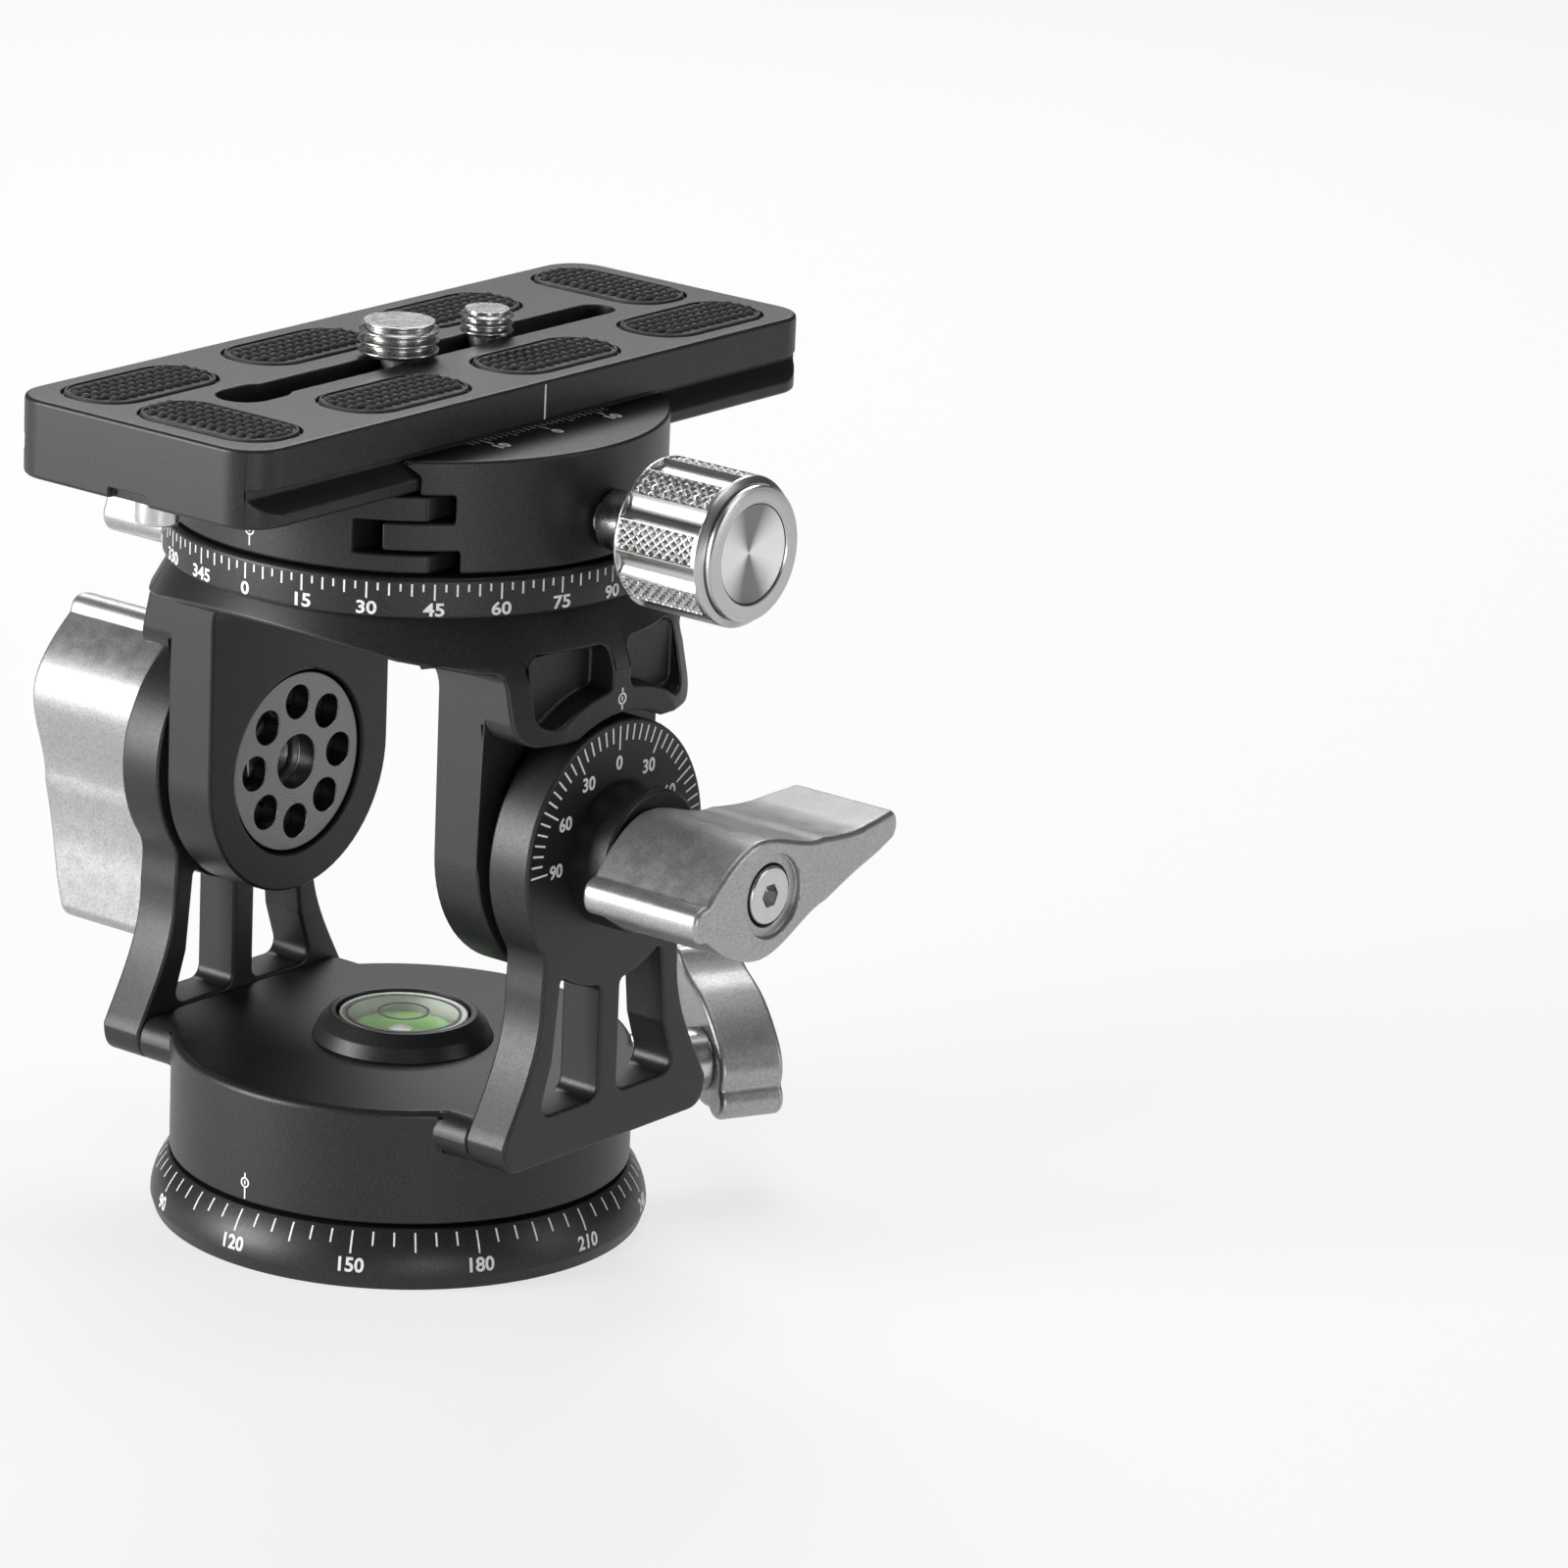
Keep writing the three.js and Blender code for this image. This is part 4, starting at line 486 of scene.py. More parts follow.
def placed(mesh, matrix):
    mesh.transform(matrix)
    if matrix.determinant() < 0:
        mesh.flip_normals()
    return mesh


def moved(x, y, z=0):
    return Matrix.Translation((x, y, z))


def lifted(height):
    return moved(0, 0, height)


def turnedBy(degrees, axis="Z"):
    return Matrix.Rotation(math.radians(degrees), 4, axis)


def outX(height, side=1):  # built along Z, laid along X on this side, at this height
    return lifted(height) @ turnedBy(0 if side > 0 else 180) @ uprightToX


def alongY(mesh):
    return placed(mesh, uprightToY)


def joined(*meshes):
    points, faces = [], []
    for mesh in meshes:
        base = len(points)
        points += [tuple(vertex.co) for vertex in mesh.vertices]
        faces += [[base + index for index in face.vertices] for face in mesh.polygons]
    return meshFrom(points, faces)


flatAngle = 0.4  # degrees between faces that are made one


# A step is ("DIFFERENCE", mesh), ("UNION", mesh) or ("INTERSECT", mesh)
def carved(base, *steps, weld=weldAt["carved"]):
    body = bpy.data.objects.new("work", base)
    bpy.context.scene.collection.objects.link(body)
    helpers = []
    for action, mesh in steps:
        helper = bpy.data.objects.new("work", mesh)
        bpy.context.scene.collection.objects.link(helper)
        helpers.append(helper)
        cut = body.modifiers.new("cut", "BOOLEAN")
        cut.operation = action
        cut.solver = "MANIFOLD"
        cut.object = helper
    bpy.context.view_layer.update()
    result = bpy.data.meshes.new_from_object(body.evaluated_get(bpy.context.evaluated_depsgraph_get()))
    for item in (body, *helpers):
        bpy.data.objects.remove(item)
    tidy = bmesh.new()
    tidy.from_mesh(result)
    bmesh.ops.remove_doubles(tidy, verts=tidy.verts, dist=weld)
    bmesh.ops.dissolve_limit(tidy, angle_limit=math.radians(flatAngle), verts=tidy.verts, edges=tidy.edges)
    tidy.to_mesh(result)
    tidy.free()
    return result


def drilled(base, *cutters):
    return carved(base, *(("DIFFERENCE", cutter) for cutter in cutters))


edgeLooks = {"angle": 34, "segments": 3, "weight": 80}
bevels = {"cast": 0.18, "screw": 0.1, "stop": 0.08}


def dress(name, mesh, slot, nodes, paint=None, bevel=0.0, body=None, sharp=32):
    mesh.transform(Matrix.Scale(mm, 4))
    mesh.name = name
    piece = bpy.data.objects.new(name, mesh)
    bpy.context.scene.collection.objects.link(piece)
    mesh.materials.clear()
    mesh.materials.append(paint or paints[slot])
    mesh.shade_smooth()
    if bevel > 0:
        edges = piece.modifiers.new("edges", "BEVEL")
        edges.width = bevel * mm
        edges.segments = edgeLooks["segments"]
        edges.limit_method = "ANGLE"
        edges.angle_limit = math.radians(edgeLooks["angle"])
        edges.use_clamp_overlap = False
        edges.miter_outer = "MITER_ARC"
    else:
        mesh.set_sharp_from_angle(angle=math.radians(sharp))
    weighted = piece.modifiers.new("normals", "WEIGHTED_NORMAL")
    weighted.keep_sharp = True
    weighted.weight = edgeLooks["weight"]
    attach(piece, body or bodyOfNode[nodes[0]])
    if nodes:
        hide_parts(*nodes)
    return piece


# White marks: bars, circles and numbers laid on a face
markSizes = {
    "proud": 0.035, "sunk": 0.03, "slices": 7, "resolution": 3, "thick": 0.05, "heavier": 0.024,
    "ringSteps": 28, "index": 0.24, "dot": 0.45,
}


def newMarks():
    return {"points": [], "faces": []}


def addBar(marks, place, left, right, low, high, parts=1):
    points, faces = marks["points"], marks["faces"]
    base = len(points)
    sunk, proud = -markSizes["sunk"], markSizes["proud"]
    for k in range(parts + 1):
        v = low + (high - low) * k / parts
        points += [place(u, v, w) for u, w in ((left, sunk), (right, sunk), (right, proud), (left, proud))]
    for k in range(parts):
        row = base + 4 * k
        for i in range(4):
            j = (i + 1) % 4
            faces.append((row + i, row + j, row + 4 + j, row + 4 + i))
    faces.append(tuple(base + i for i in range(4)))
    faces.append(tuple(base + 4 * parts + i for i in range(4)))


def addCircle(marks, place, centre, radius, thick):
    points, faces = marks["points"], marks["faces"]
    base = len(points)
    steps = markSizes["ringSteps"]
    inner, outer = radius - thick / 2, radius + thick / 2
    sunk, proud = -markSizes["sunk"], markSizes["proud"]
    for k in range(steps):
        for reach, w in ((inner, sunk), (outer, sunk), (outer, proud), (inner, proud)):
            points.append(place(*around(reach, k, steps, centre), w))
    for k in range(steps):
        one, two = base + 4 * k, base + 4 * ((k + 1) % steps)
        for i in range(4):
            j = (i + 1) % 4
            faces.append((one + i, one + j, two + j, two + i))


numberShapes = {}


def numberShape(words):
    if words not in numberShapes:
        curve = bpy.data.curves.new("work", "FONT")
        curve.body = words
        curve.align_x = "CENTER"
        curve.resolution_u = markSizes["resolution"]
        curve.extrude = markSizes["thick"]
        curve.offset = markSizes["heavier"]
        holder = bpy.data.objects.new("work", curve)
        mesh = bpy.data.meshes.new_from_object(holder)
        bpy.data.objects.remove(holder)
        low = min(vertex.co.y for vertex in mesh.vertices)
        high = max(vertex.co.y for vertex in mesh.vertices)
        sliced = bmesh.new()
        sliced.from_mesh(mesh)
        for k in range(1, markSizes["slices"]):  # so that the strokes bend with a curved face
            level = low + (high - low) * k / markSizes["slices"]
            parts = [*sliced.verts, *sliced.edges, *sliced.faces]
            bmesh.ops.bisect_plane(sliced, geom=parts, plane_co=(0, level, 0), plane_no=(0, 1, 0))
        sliced.to_mesh(mesh)
        sliced.free()
        points = [tuple(vertex.co) for vertex in mesh.vertices]
        scale = 1 / (high - low)
        points = [(x * scale, (y - (low + high) / 2) * scale, 1 if z > 0 else -1) for x, y, z in points]
        numberShapes[words] = (points, [tuple(face.vertices) for face in mesh.polygons])
    return numberShapes[words]


def addNumber(marks, place, words, height, centre, wide=1.0):
    points, faces = numberShape(words)
    base = len(marks["points"])
    for x, y, side in points:
        w = markSizes["proud"] if side > 0 else -markSizes["sunk"]
        marks["points"].append(place(centre[0] + x * height * wide, centre[1] + y * height, w))
    marks["faces"] += [tuple(base + index for index in face) for face in faces]


# An upright line through a small circle
def addIndex(marks, place, u, low, high, circleAt, radius, thick=markSizes["index"]):
    dot = radius * markSizes["dot"]
    for start, end in ((low, circleAt - radius), (circleAt + radius, high), (circleAt - dot, circleAt + dot)):
        addBar(marks, place, u - thick / 2, u + thick / 2, start, end)
    addCircle(marks, place, (u, circleAt), radius, thick)


def dressMarks(name, marks, body):
    mesh = meshFrom(marks["points"], marks["faces"], weldAt["marks"])
    return dress(name, mesh, None, (), markPaint, body=body)


def barLength(dial, value):  # bars are longer at round values
    if value % dial["longEvery"] == 0:
        return dial["long"]
    return dial["middle"] if value % dial["middleEvery"] == 0 else dial["short"]


def onDrum(radiusAt, degrees=0):  # u runs round the drum from -Y towards +X, v is the height
    start = math.radians(degrees)

    def place(u, v, w):
        angle = start + u / radiusAt(v)
        reach = radiusAt(v) + w
        return reach * math.sin(angle), -reach * math.cos(angle), v

    return place


def onSide(x, side):  # u runs to the right as the face is looked at from outside
    return lambda u, v, w: (side * (x + w), side * u, v)


# Lower pan base
flangeSizes = {
    "foot": 29.4, "rim": 30.0, "rimTop": 1.8, "shoulder": 27.8, "top": 7.1, "bore": 6.8, "boreTop": 9.3,
    "spigot": 14.0, "spigotTop": 15.0, "neck": 6.0, "neckTop": 18.6, "screwHole": 2.8, "shoulderRound": 0.25,
    "grooves": (11.5, 21.0), "grooveWidth": 1.0, "grooveDepth": 0.4, "flareSteps": 10,
}


def flareRadius(height):
    share = max(0, (height - flangeSizes["rimTop"]) / (flangeSizes["top"] - flangeSizes["rimTop"]))
    return flangeSizes["rim"] - (flangeSizes["rim"] - flangeSizes["shoulder"]) * share * share


def makeFlange():
    s = flangeSizes
    underside = [(s["bore"], 0, soft)]
    for groove in s["grooves"]:
        end, deep = groove + s["grooveWidth"], s["grooveDepth"]
        underside += [(groove, 0, hair), (groove, deep, hair), (end, deep, hair), (end, 0, hair)]
    flare = []
    for k in range(1, s["flareSteps"]):
        height = s["rimTop"] + (s["top"] - s["rimTop"]) * k / s["flareSteps"]
        flare.append((flareRadius(height), height, 0))
    flange = lathe([
        *underside, (s["foot"], 0, broad), (s["rim"], s["rimTop"], broad), *flare,
        (s["shoulder"], s["top"], s["shoulderRound"]), (s["spigot"], s["top"], crisp),
        (s["spigot"], s["spigotTop"], soft), (s["neck"], s["spigotTop"], crisp),
        (s["neck"], s["neckTop"], soft), (s["screwHole"], s["neckTop"], crisp),
        (s["screwHole"], s["boreTop"], 0), (s["bore"], s["boreTop"], 0),
    ], fine["wide"])
    dress("flange_turned", flange, "black_anodised", ["base_flange"])


bushSizes = {
    "outer": 6.5, "bore": 4.0, "root": 4.5, "low": 0.4, "high": 9.0, "pitch": 1.5875, "edge": 0.5,
    "round": 0.15, "rootRound": 0.08,
}


def makeBush():
    s = bushSizes
    threads = []
    height = s["high"] - s["edge"]
    while height > s["low"] + s["edge"] + s["pitch"] / 2:
        threads += [(s["root"], height, s["rootRound"]), (s["bore"], height - s["pitch"] / 2, hair)]
        height -= s["pitch"]
    profile = roundedCorners([
        (s["bore"] + s["edge"], s["low"]), (s["outer"], s["low"]), (s["outer"], s["high"]),
        (s["bore"] + s["edge"], s["high"]), *threads, (s["bore"], s["low"] + s["edge"]),
    ], s["round"])
    dress("bush_threaded", turned(profile), "turned_brass", ["tripod_bush"])


baseDial = {
    "top": 6.75, "step": 5, "longEvery": 30, "middleEvery": 15, "long": 2.35, "middle": 2.0, "short": 1.4,
    "thick": 0.22, "parts": 3, "labelAt": 3.1, "labelHeight": 1.75, "atFront": 120,
}


def makeBaseDial():
    s = baseDial
    marks = newMarks()
    for value in range(0, 360, s["step"]):
        place = onDrum(flareRadius, value - s["atFront"])
        low = s["top"] - barLength(s, value)
        addBar(marks, place, -s["thick"] / 2, s["thick"] / 2, low, s["top"], s["parts"])
        if value % s["longEvery"] == 0:
            addNumber(marks, place, str(value), s["labelHeight"], (0, s["labelAt"]))
    dressMarks("base_marks", marks, "base")


makeFlange()
makeBush()
makeBaseDial()
print("base turned")

# Pan housing with its level
housingSizes = {
    "radius": 27.8, "low": 7.6, "high": 21.7, "edge": 0.9, "lowRound": 0.35, "spigotBore": 14.3,
    "webLow": 15.3, "webHigh": 18.3, "neckBore": 6.3, "pocket": 9.6, "slabLow": 16.2, "slabHalf": 18.5,
    "slabEdge": 2.7, "armSeat": 26.0, "lockBore": 3.0, "lockRise": 14.2, "lockHeading": 64, "bevel": 0.3,
}


def panLockHeading():
    return lifted(housingSizes["lockRise"]) @ turnedBy(housingSizes["lockHeading"]) @ uprightToX


def makeHousing():
    s = housingSizes
    drum = lathe([
        (s["spigotBore"], s["low"], 0), (s["radius"], s["low"], s["lowRound"]),
        (s["radius"], s["high"], s["edge"]), (s["pocket"], s["high"], soft), (s["pocket"], s["webHigh"], 0),
        (s["neckBore"], s["webHigh"], 0), (s["neckBore"], s["webLow"], 0), (s["spigotBore"], s["webLow"], 0),
    ], fine["wide"])
    half = s["slabHalf"]
    outline = roundedCorners([
        (-half, s["slabLow"]), (half, s["slabLow"]), (half, s["high"]), (-half, s["high"]),
    ], s["slabEdge"], fine["bend"])
    pocket = rod(s["pocket"], s["webHigh"], s["high"] + spare, fine["mid"])
    bridge = drilled(placed(slab(outline, -s["armSeat"], s["armSeat"]), uprightToX), pocket)
    reach = s["radius"] + 2 * spare
    seats = []
    for side in (-1, 1):
        start, end = sorted((side * s["armSeat"], side * reach))
        seats.append(("DIFFERENCE", block((start, -reach, s["slabLow"]), (end, reach, s["high"] + spare))))
    bore = placed(rod(s["lockBore"], s["spigotBore"], reach), panLockHeading())
    body = carved(drum, ("UNION", bridge), *seats, ("DIFFERENCE", bore))
    dress("housing_blasted", body, "black_anodised", ["pan_housing"], bevel=s["bevel"])


housingMark = {"low": 7.95, "high": 11.2, "circle": 10.0, "radius": 0.55, "thick": 0.2}


def makeHousingMark():
    s = housingMark
    marks = newMarks()
    place = onDrum(lambda height: housingSizes["radius"])
    addIndex(marks, place, 0, s["low"], s["high"], s["circle"], s["radius"], s["thick"])
    dressMarks("housing_mark", marks, "housing")


levelSizes = {
    "sleeve": 9.3, "bore": 8.1, "ledge": 7.0, "low": 20.9, "floor": 21.3, "bezelFoot": 11.0,
    "bezelWaist": 10.2, "waistRise": 1.7, "waistRound": 0.8, "bezelLip": 8.9, "lipRise": 3.1,
    "lipRound": 0.35, "cup": 7.8, "cupWall": 7.3, "cupTop": 24.5, "cupFloor": 21.9, "cupRound": 0.15,
    "liquid": 6.1, "liquidLow": 21.95, "liquidTop": 22.7, "liquidRound": 0.4, "lens": 7.2, "lensLow": 22.8,
    "lensEdge": 24.4, "lensTop": 24.8, "domeSteps": 8, "bubble": 1.45, "bubbleAt": (0.35, -0.75),
    "bubbleTop": 22.98, "bubbleSunk": 0.01, "innerRing": 3.0, "outerRing": 6.85, "ringWidth": 0.36,
    "ringDeep": (0.06, 0.1), "ringLift": 0.02,
}


def lensHeight(share):  # the dome's height at this share of its radius
    s = levelSizes
    return s["lensEdge"] + (s["lensTop"] - s["lensEdge"]) * (1 - share * share)


def makeLevel():
    s = levelSizes
    top = housingSizes["high"]
    lip = top + s["lipRise"]
    dress("level_bezel_turned", lathe([
        (s["ledge"], s["low"], 0), (s["sleeve"], s["low"], 0), (s["sleeve"], top, 0),
        (s["bezelFoot"], top, hair), (s["bezelWaist"], top + s["waistRise"], s["waistRound"]),
        (s["bezelLip"], lip, s["lipRound"]),
        (s["bore"], lip, crisp), (s["bore"], s["floor"], 0), (s["ledge"], s["floor"], 0),
    ], fine["wide"], rounds=fine["lip"]), "black_anodised", ["level_bezel"])
    dress("level_cup_moulded", lathe([
        (0, s["floor"], 0), (s["cup"], s["floor"], crisp), (s["cup"], s["cupTop"], s["cupRound"]),
        (s["cupWall"], s["cupTop"], s["cupRound"]), (s["cupWall"], s["cupFloor"], soft),
        (0, s["cupFloor"], 0),
    ], closed=False), "level_cup", ["level_cup"])
    dress("level_liquid_disc", lathe([
        (0, s["liquidLow"], 0), (s["liquid"], s["liquidLow"], hair),
        (s["liquid"], s["liquidTop"], s["liquidRound"]), (0, s["liquidTop"], 0),
    ], closed=False), "level_liquid", ["level_liquid"])
    shares = [k / s["domeSteps"] for k in range(s["domeSteps"] + 1)]
    crown = [(s["lens"] * (1 - share), lensHeight(1 - share)) for share in shares]
    lens = turned([(0, s["lensLow"]), (s["lens"], s["lensLow"]), *crown])
    dress("level_lens_domed", lens, "level_lens", ["level_lens"])
    rise = s["bubbleTop"] - s["liquidTop"]
    angles = [math.pi / 2 * share for share in shares]
    dome = [(s["bubble"] * math.sin(angle), s["liquidTop"] + rise * math.cos(angle)) for angle in angles]
    bubble = placed(turned([*dome, (0, s["liquidTop"] - s["bubbleSunk"])]), moved(*s["bubbleAt"]))
    dress("level_bubble", bubble, None, (), paints["level_cup"], body="housing")
    rings = []
    for radius in (s["innerRing"], s["outerRing"]):
        height = lensHeight(radius / s["lens"])
        inner, outer = radius - s["ringWidth"] / 2, radius + s["ringWidth"] / 2
        innerDeep, outerDeep = s["ringDeep"]
        rings.append(turned([(inner, height - innerDeep), (outer, height - outerDeep), (outer, height),
                             (inner, height + s["ringLift"])]))
    dress("level_rings", joined(*rings), None, (), ringPaint, body="housing")


makeHousing()
makeHousingMark()
makeLevel()
print("housing and level made")

# Outer arms with their tilt dials
armSizes = {
    "inner": 26.0, "outer": 32.0, "head": 16.0, "neck": 12.5, "neckDrop": 0.1, "foot": 18.6,
    "footLow": -35.9, "footHigh": -32.1, "footRound": 3.0, "leave": 36, "blend": 2.0, "neckBlend": 2.6,
    "upperBend": 6.0, "bendIn": 3.0, "bendUp": 5.5, "axle": 6.3, "edge": 0.45, "rib": 1.8,
    "windowLow": -30.0, "windowFoot": 12.4, "windowBend": (10.2, -23.5), "windowTop": 9.1,
    "windowHead": 16.2, "windowRound": 1.5,
}


def armOutline():
    s = armSizes
    leave = math.radians(s["leave"])
    hx, hy = s["head"] * math.cos(leave), -s["head"] * math.sin(leave)
    bx, by = hx - s["blend"] * math.sin(leave), hy - s["blend"] * math.cos(leave)
    neckY = -s["head"] - s["neckDrop"]
    foot, low, high, neck = s["foot"], s["footLow"], s["footHigh"], s["neck"]
    bend = (foot - s["bendIn"], high + s["bendUp"])
    return drawn(
        (s["footRound"] - foot, low),
        ("line", (foot - s["footRound"], low)),
        ("curve", (foot, low), (foot, high)),
        ("curve", bend, (neck, neckY - s["upperBend"]), (neck, neckY)),
        ("curve", (neck, neckY + s["neckBlend"]), (bx, by), (hx, hy)),
        ("arc", (0, 0), s["head"], -leave, math.pi + leave),
        ("curve", (-bx, by), (-neck, neckY + s["neckBlend"]), (-neck, neckY)),
        ("curve", (-neck, neckY - s["upperBend"]), (-bend[0], bend[1]), (-foot, high)),
        ("curve", (-foot, low), (s["footRound"] - foot, low)),
    )


def onCircle(radius, half, up):  # a point on the circle above or below its centre
    return half, up * math.sqrt(radius * radius - half * half)


def alongCircle(radius, start, end, up):  # sharp points between two places across
    steps = fine["edgeArc"]
    return [(*onCircle(radius, start + (end - start) * k / steps, up), 0) for k in range(1, steps)]


def armWindow():
    s = armSizes
    reach, top = s["windowHead"], s["windowTop"]
    corners = [
        (s["rib"], s["windowLow"]), (s["windowFoot"], s["windowLow"]), s["windowBend"],
        onCircle(reach, top, -1), *alongCircle(reach, top, s["rib"], -1), onCircle(reach, s["rib"], -1),
    ]
    return roundedCorners(corners, s["windowRound"], fine["bend"])


armDial = {
    "reach": 15.35, "step": 5, "longEvery": 30, "short": 1.9, "long": 2.9, "thick": 0.24, "lowest": 90,
    "labels": (0, 30, 60, 90), "labelReach": 10.9, "labelHeight": 1.75,
}


def makeArmDial(side, name):
    s = armDial
    marks = newMarks()
    place = onSide(armSizes["outer"], side)
    for value in range(-s["lowest"], s["lowest"] + 1, s["step"]):
        angle = math.radians(value)
        sine, cosine = math.sin(angle), math.cos(angle)

        def spoke(u, v, w, sine=sine, cosine=cosine):
            return place(u * cosine + v * sine, tiltAxis + v * cosine - u * sine, w)

        length = s["long"] if value % s["longEvery"] == 0 else s["short"]
        addBar(marks, spoke, -s["thick"] / 2, s["thick"] / 2, s["reach"] - length, s["reach"])
        if abs(value) in s["labels"]:
            centre = (s["labelReach"] * sine, tiltAxis + s["labelReach"] * cosine)
            addNumber(marks, place, str(abs(value)), s["labelHeight"], centre)
    dressMarks("arm_marks_" + name, marks, "housing")


collarSizes = {"radius": 8.7, "bore": 6.3, "start": 32.0, "end": 37.6, "edge": 0.5}


def makeArms():
    s, c = armSizes, collarSizes
    window = armWindow()
    for side, name in ((1, "right"), (-1, "left")):
        out = outX(tiltAxis, side)
        holes = (circle(s["axle"]), window, mirrored(window))
        arm = slab(armOutline(), s["inner"], s["outer"], holes, s["edge"])
        dress("arm_" + name + "_milled", placed(arm, out), "black_anodised", ["arm_" + name])
        ring = lathe([
            (c["bore"], c["start"], 0), (c["radius"], c["start"], 0), (c["radius"], c["end"], c["edge"]),
            (c["bore"], c["end"], soft),
        ], fine["wide"])
        dress("collar_" + name + "_turned", placed(ring, out), "black_anodised", ["tilt_collar_" + name])
        makeArmDial(side, name)


makeArms()
print("arms made")

# Tilt joint: nuts, axle tubes, washers and wing levers
nutSizes = {
    "radius": 11.1, "bore": 3.3, "low": 18.1, "high": 20.6, "holes": 8, "holeRadius": 2.05, "holeSteps": 28,
    "circle": 7.5,
}
axleSizes = {"bore": 3.3, "radius": 6.0}
washerSizes = {"bore": 6.3, "radius": 12.8, "round": 0.25}
leverSizes = {
    "inner": 38.0, "hub": 17.6, "nose": 17.0, "tail": 14.4, "noseReach": 13.5, "noseHalf": 2.2,
    "lobe": -2.0, "lobeHalf": 7.3, "shoulder": 10.0, "shoulderHalf": 4.0, "narrow": 18.0, "narrowHalf": 2.4,
    "narrowPull": 0.1, "taper": ((4.0, -0.3), (1.0, -0.05)), "tailReach": 27.0, "tailHalf": 1.8,
    "past": 1.0, "edge": 0.7, "dish": 5.0, "dishDepth": 0.8, "shank": 3.2, "seat": 3.8, "seatDepth": 3.8,
    "degrees": {"right": 5.5, "left": -84.5},
}
tiltScrewSizes = {
    "shank": 2.9, "head": 3.5, "headHeight": 3.3, "socket": 2.5, "socketDepth": 1.6, "start": 22.0,
}


def leverOutline():  # from the tail's tip round by the nose, the same on both sides
    s = leverSizes
    lobe, half, sh, shHalf = s["lobe"], s["lobeHalf"], s["shoulder"], s["shoulderHalf"]
    base = s["noseHalf"] - s["noseReach"]
    tail = s["tailReach"] - s["tailHalf"]
    upper = drawn(
        (s["tailReach"], 0),
        ("arc", (tail, 0), s["tailHalf"], 0, math.pi / 2),
        *(("line", (s["narrow"] + along, s["narrowHalf"] + across)) for along, across in s["taper"]),
        ("curve", (s["narrow"] - s["narrowHalf"], s["narrowHalf"] + s["narrowPull"]), (sh, shHalf)),
        ("curve", (sh - shHalf, shHalf), (lobe + shHalf, half), (lobe, half)),
        ("curve", (lobe - shHalf, half), (base, s["noseHalf"])),
        ("curve", (-s["noseReach"], s["noseHalf"]), (-s["noseReach"], 0)),
    )
    return upper + [(x, -y) for x, y in reversed(upper[1:-1])]


def curveShare(x, start, pull, end):  # where a quadratic curve passes x
    a, b, c = start - 2 * pull + end, 2 * (pull - start), start - x
    if abs(a) < closeTo["flat"]:
        return -c / b
    return (-b + math.sqrt(max(0, b * b - 4 * a * c))) / (2 * a)


def leverTop(x):
    s = leverSizes
    if x < s["noseHalf"]:
        share = curveShare(x, -s["noseReach"] - s["past"], -s["noseHalf"], s["noseHalf"])
        return s["hub"] + (s["nose"] - s["hub"]) * (1 - share) ** 2
    share = curveShare(x, s["noseHalf"], s["narrow"], s["tailReach"] + s["past"])
    return s["hub"] + (s["tail"] - s["hub"]) * share ** 2


capEdge = 0.35
capRing = 0.66  # a ring of points on the head's top, to the socket's width


def capScrew(s, shankLength):
    head, top, shank = s["head"], s["headHeight"], s["shank"]
    body = lathe([
        (0, -shankLength, 0), (shank, -shankLength, crisp), (shank, 0, 0), (head, 0, 0), (head, top, capEdge),
        (s["socket"] * capRing, top, 0), (0, top, 0),
    ], closed=False)
    return drilled(body, slab(hexagon(s["socket"]), top - s["socketDepth"], top + spare))


def makeLever(name):
    s = leverSizes
    points, faces = [], []
    outline = leverOutline()
    moves = inward(outline)
    count = len(outline)
    levels = edgeLevels(0, s["hub"], s["edge"], fine["lip"])
    for inset, height in levels:
        for (x, y), move in zip(outline, moves):
            x, y = x + move.x * inset, y + move.y * inset
            drop = s["hub"] - leverTop(x) if height > s["hub"] / 2 else 0
            points.append((x, y, s["inner"] + height - drop))
    for level in range(len(levels) - 1):
        for i in range(count):
            one, two = level * count + i, level * count + (i + 1) % count
            faces.append((one, two, two + count, one + count))
    top = (len(levels) - 1) * count
    for i in range(count // 2):  # flat strips from one side of the lever to the other
        strip = list(dict.fromkeys((i, i + 1, count - 1 - i, (count - i) % count)))
        faces.append(list(reversed(strip)))
        faces.append([top + index for index in strip])
    reach = s["inner"] + s["hub"]
    body = drilled(
        meshFrom(points, faces, weldAt["slab"]),
        rod(s["shank"], s["inner"] - spare, reach),
        rod(s["seat"], reach - s["seatDepth"], reach),
        rod(s["dish"], reach - s["dishDepth"], reach + spare, fine["mid"]),
    )
    return placed(body, turnedBy(s["degrees"][name]))


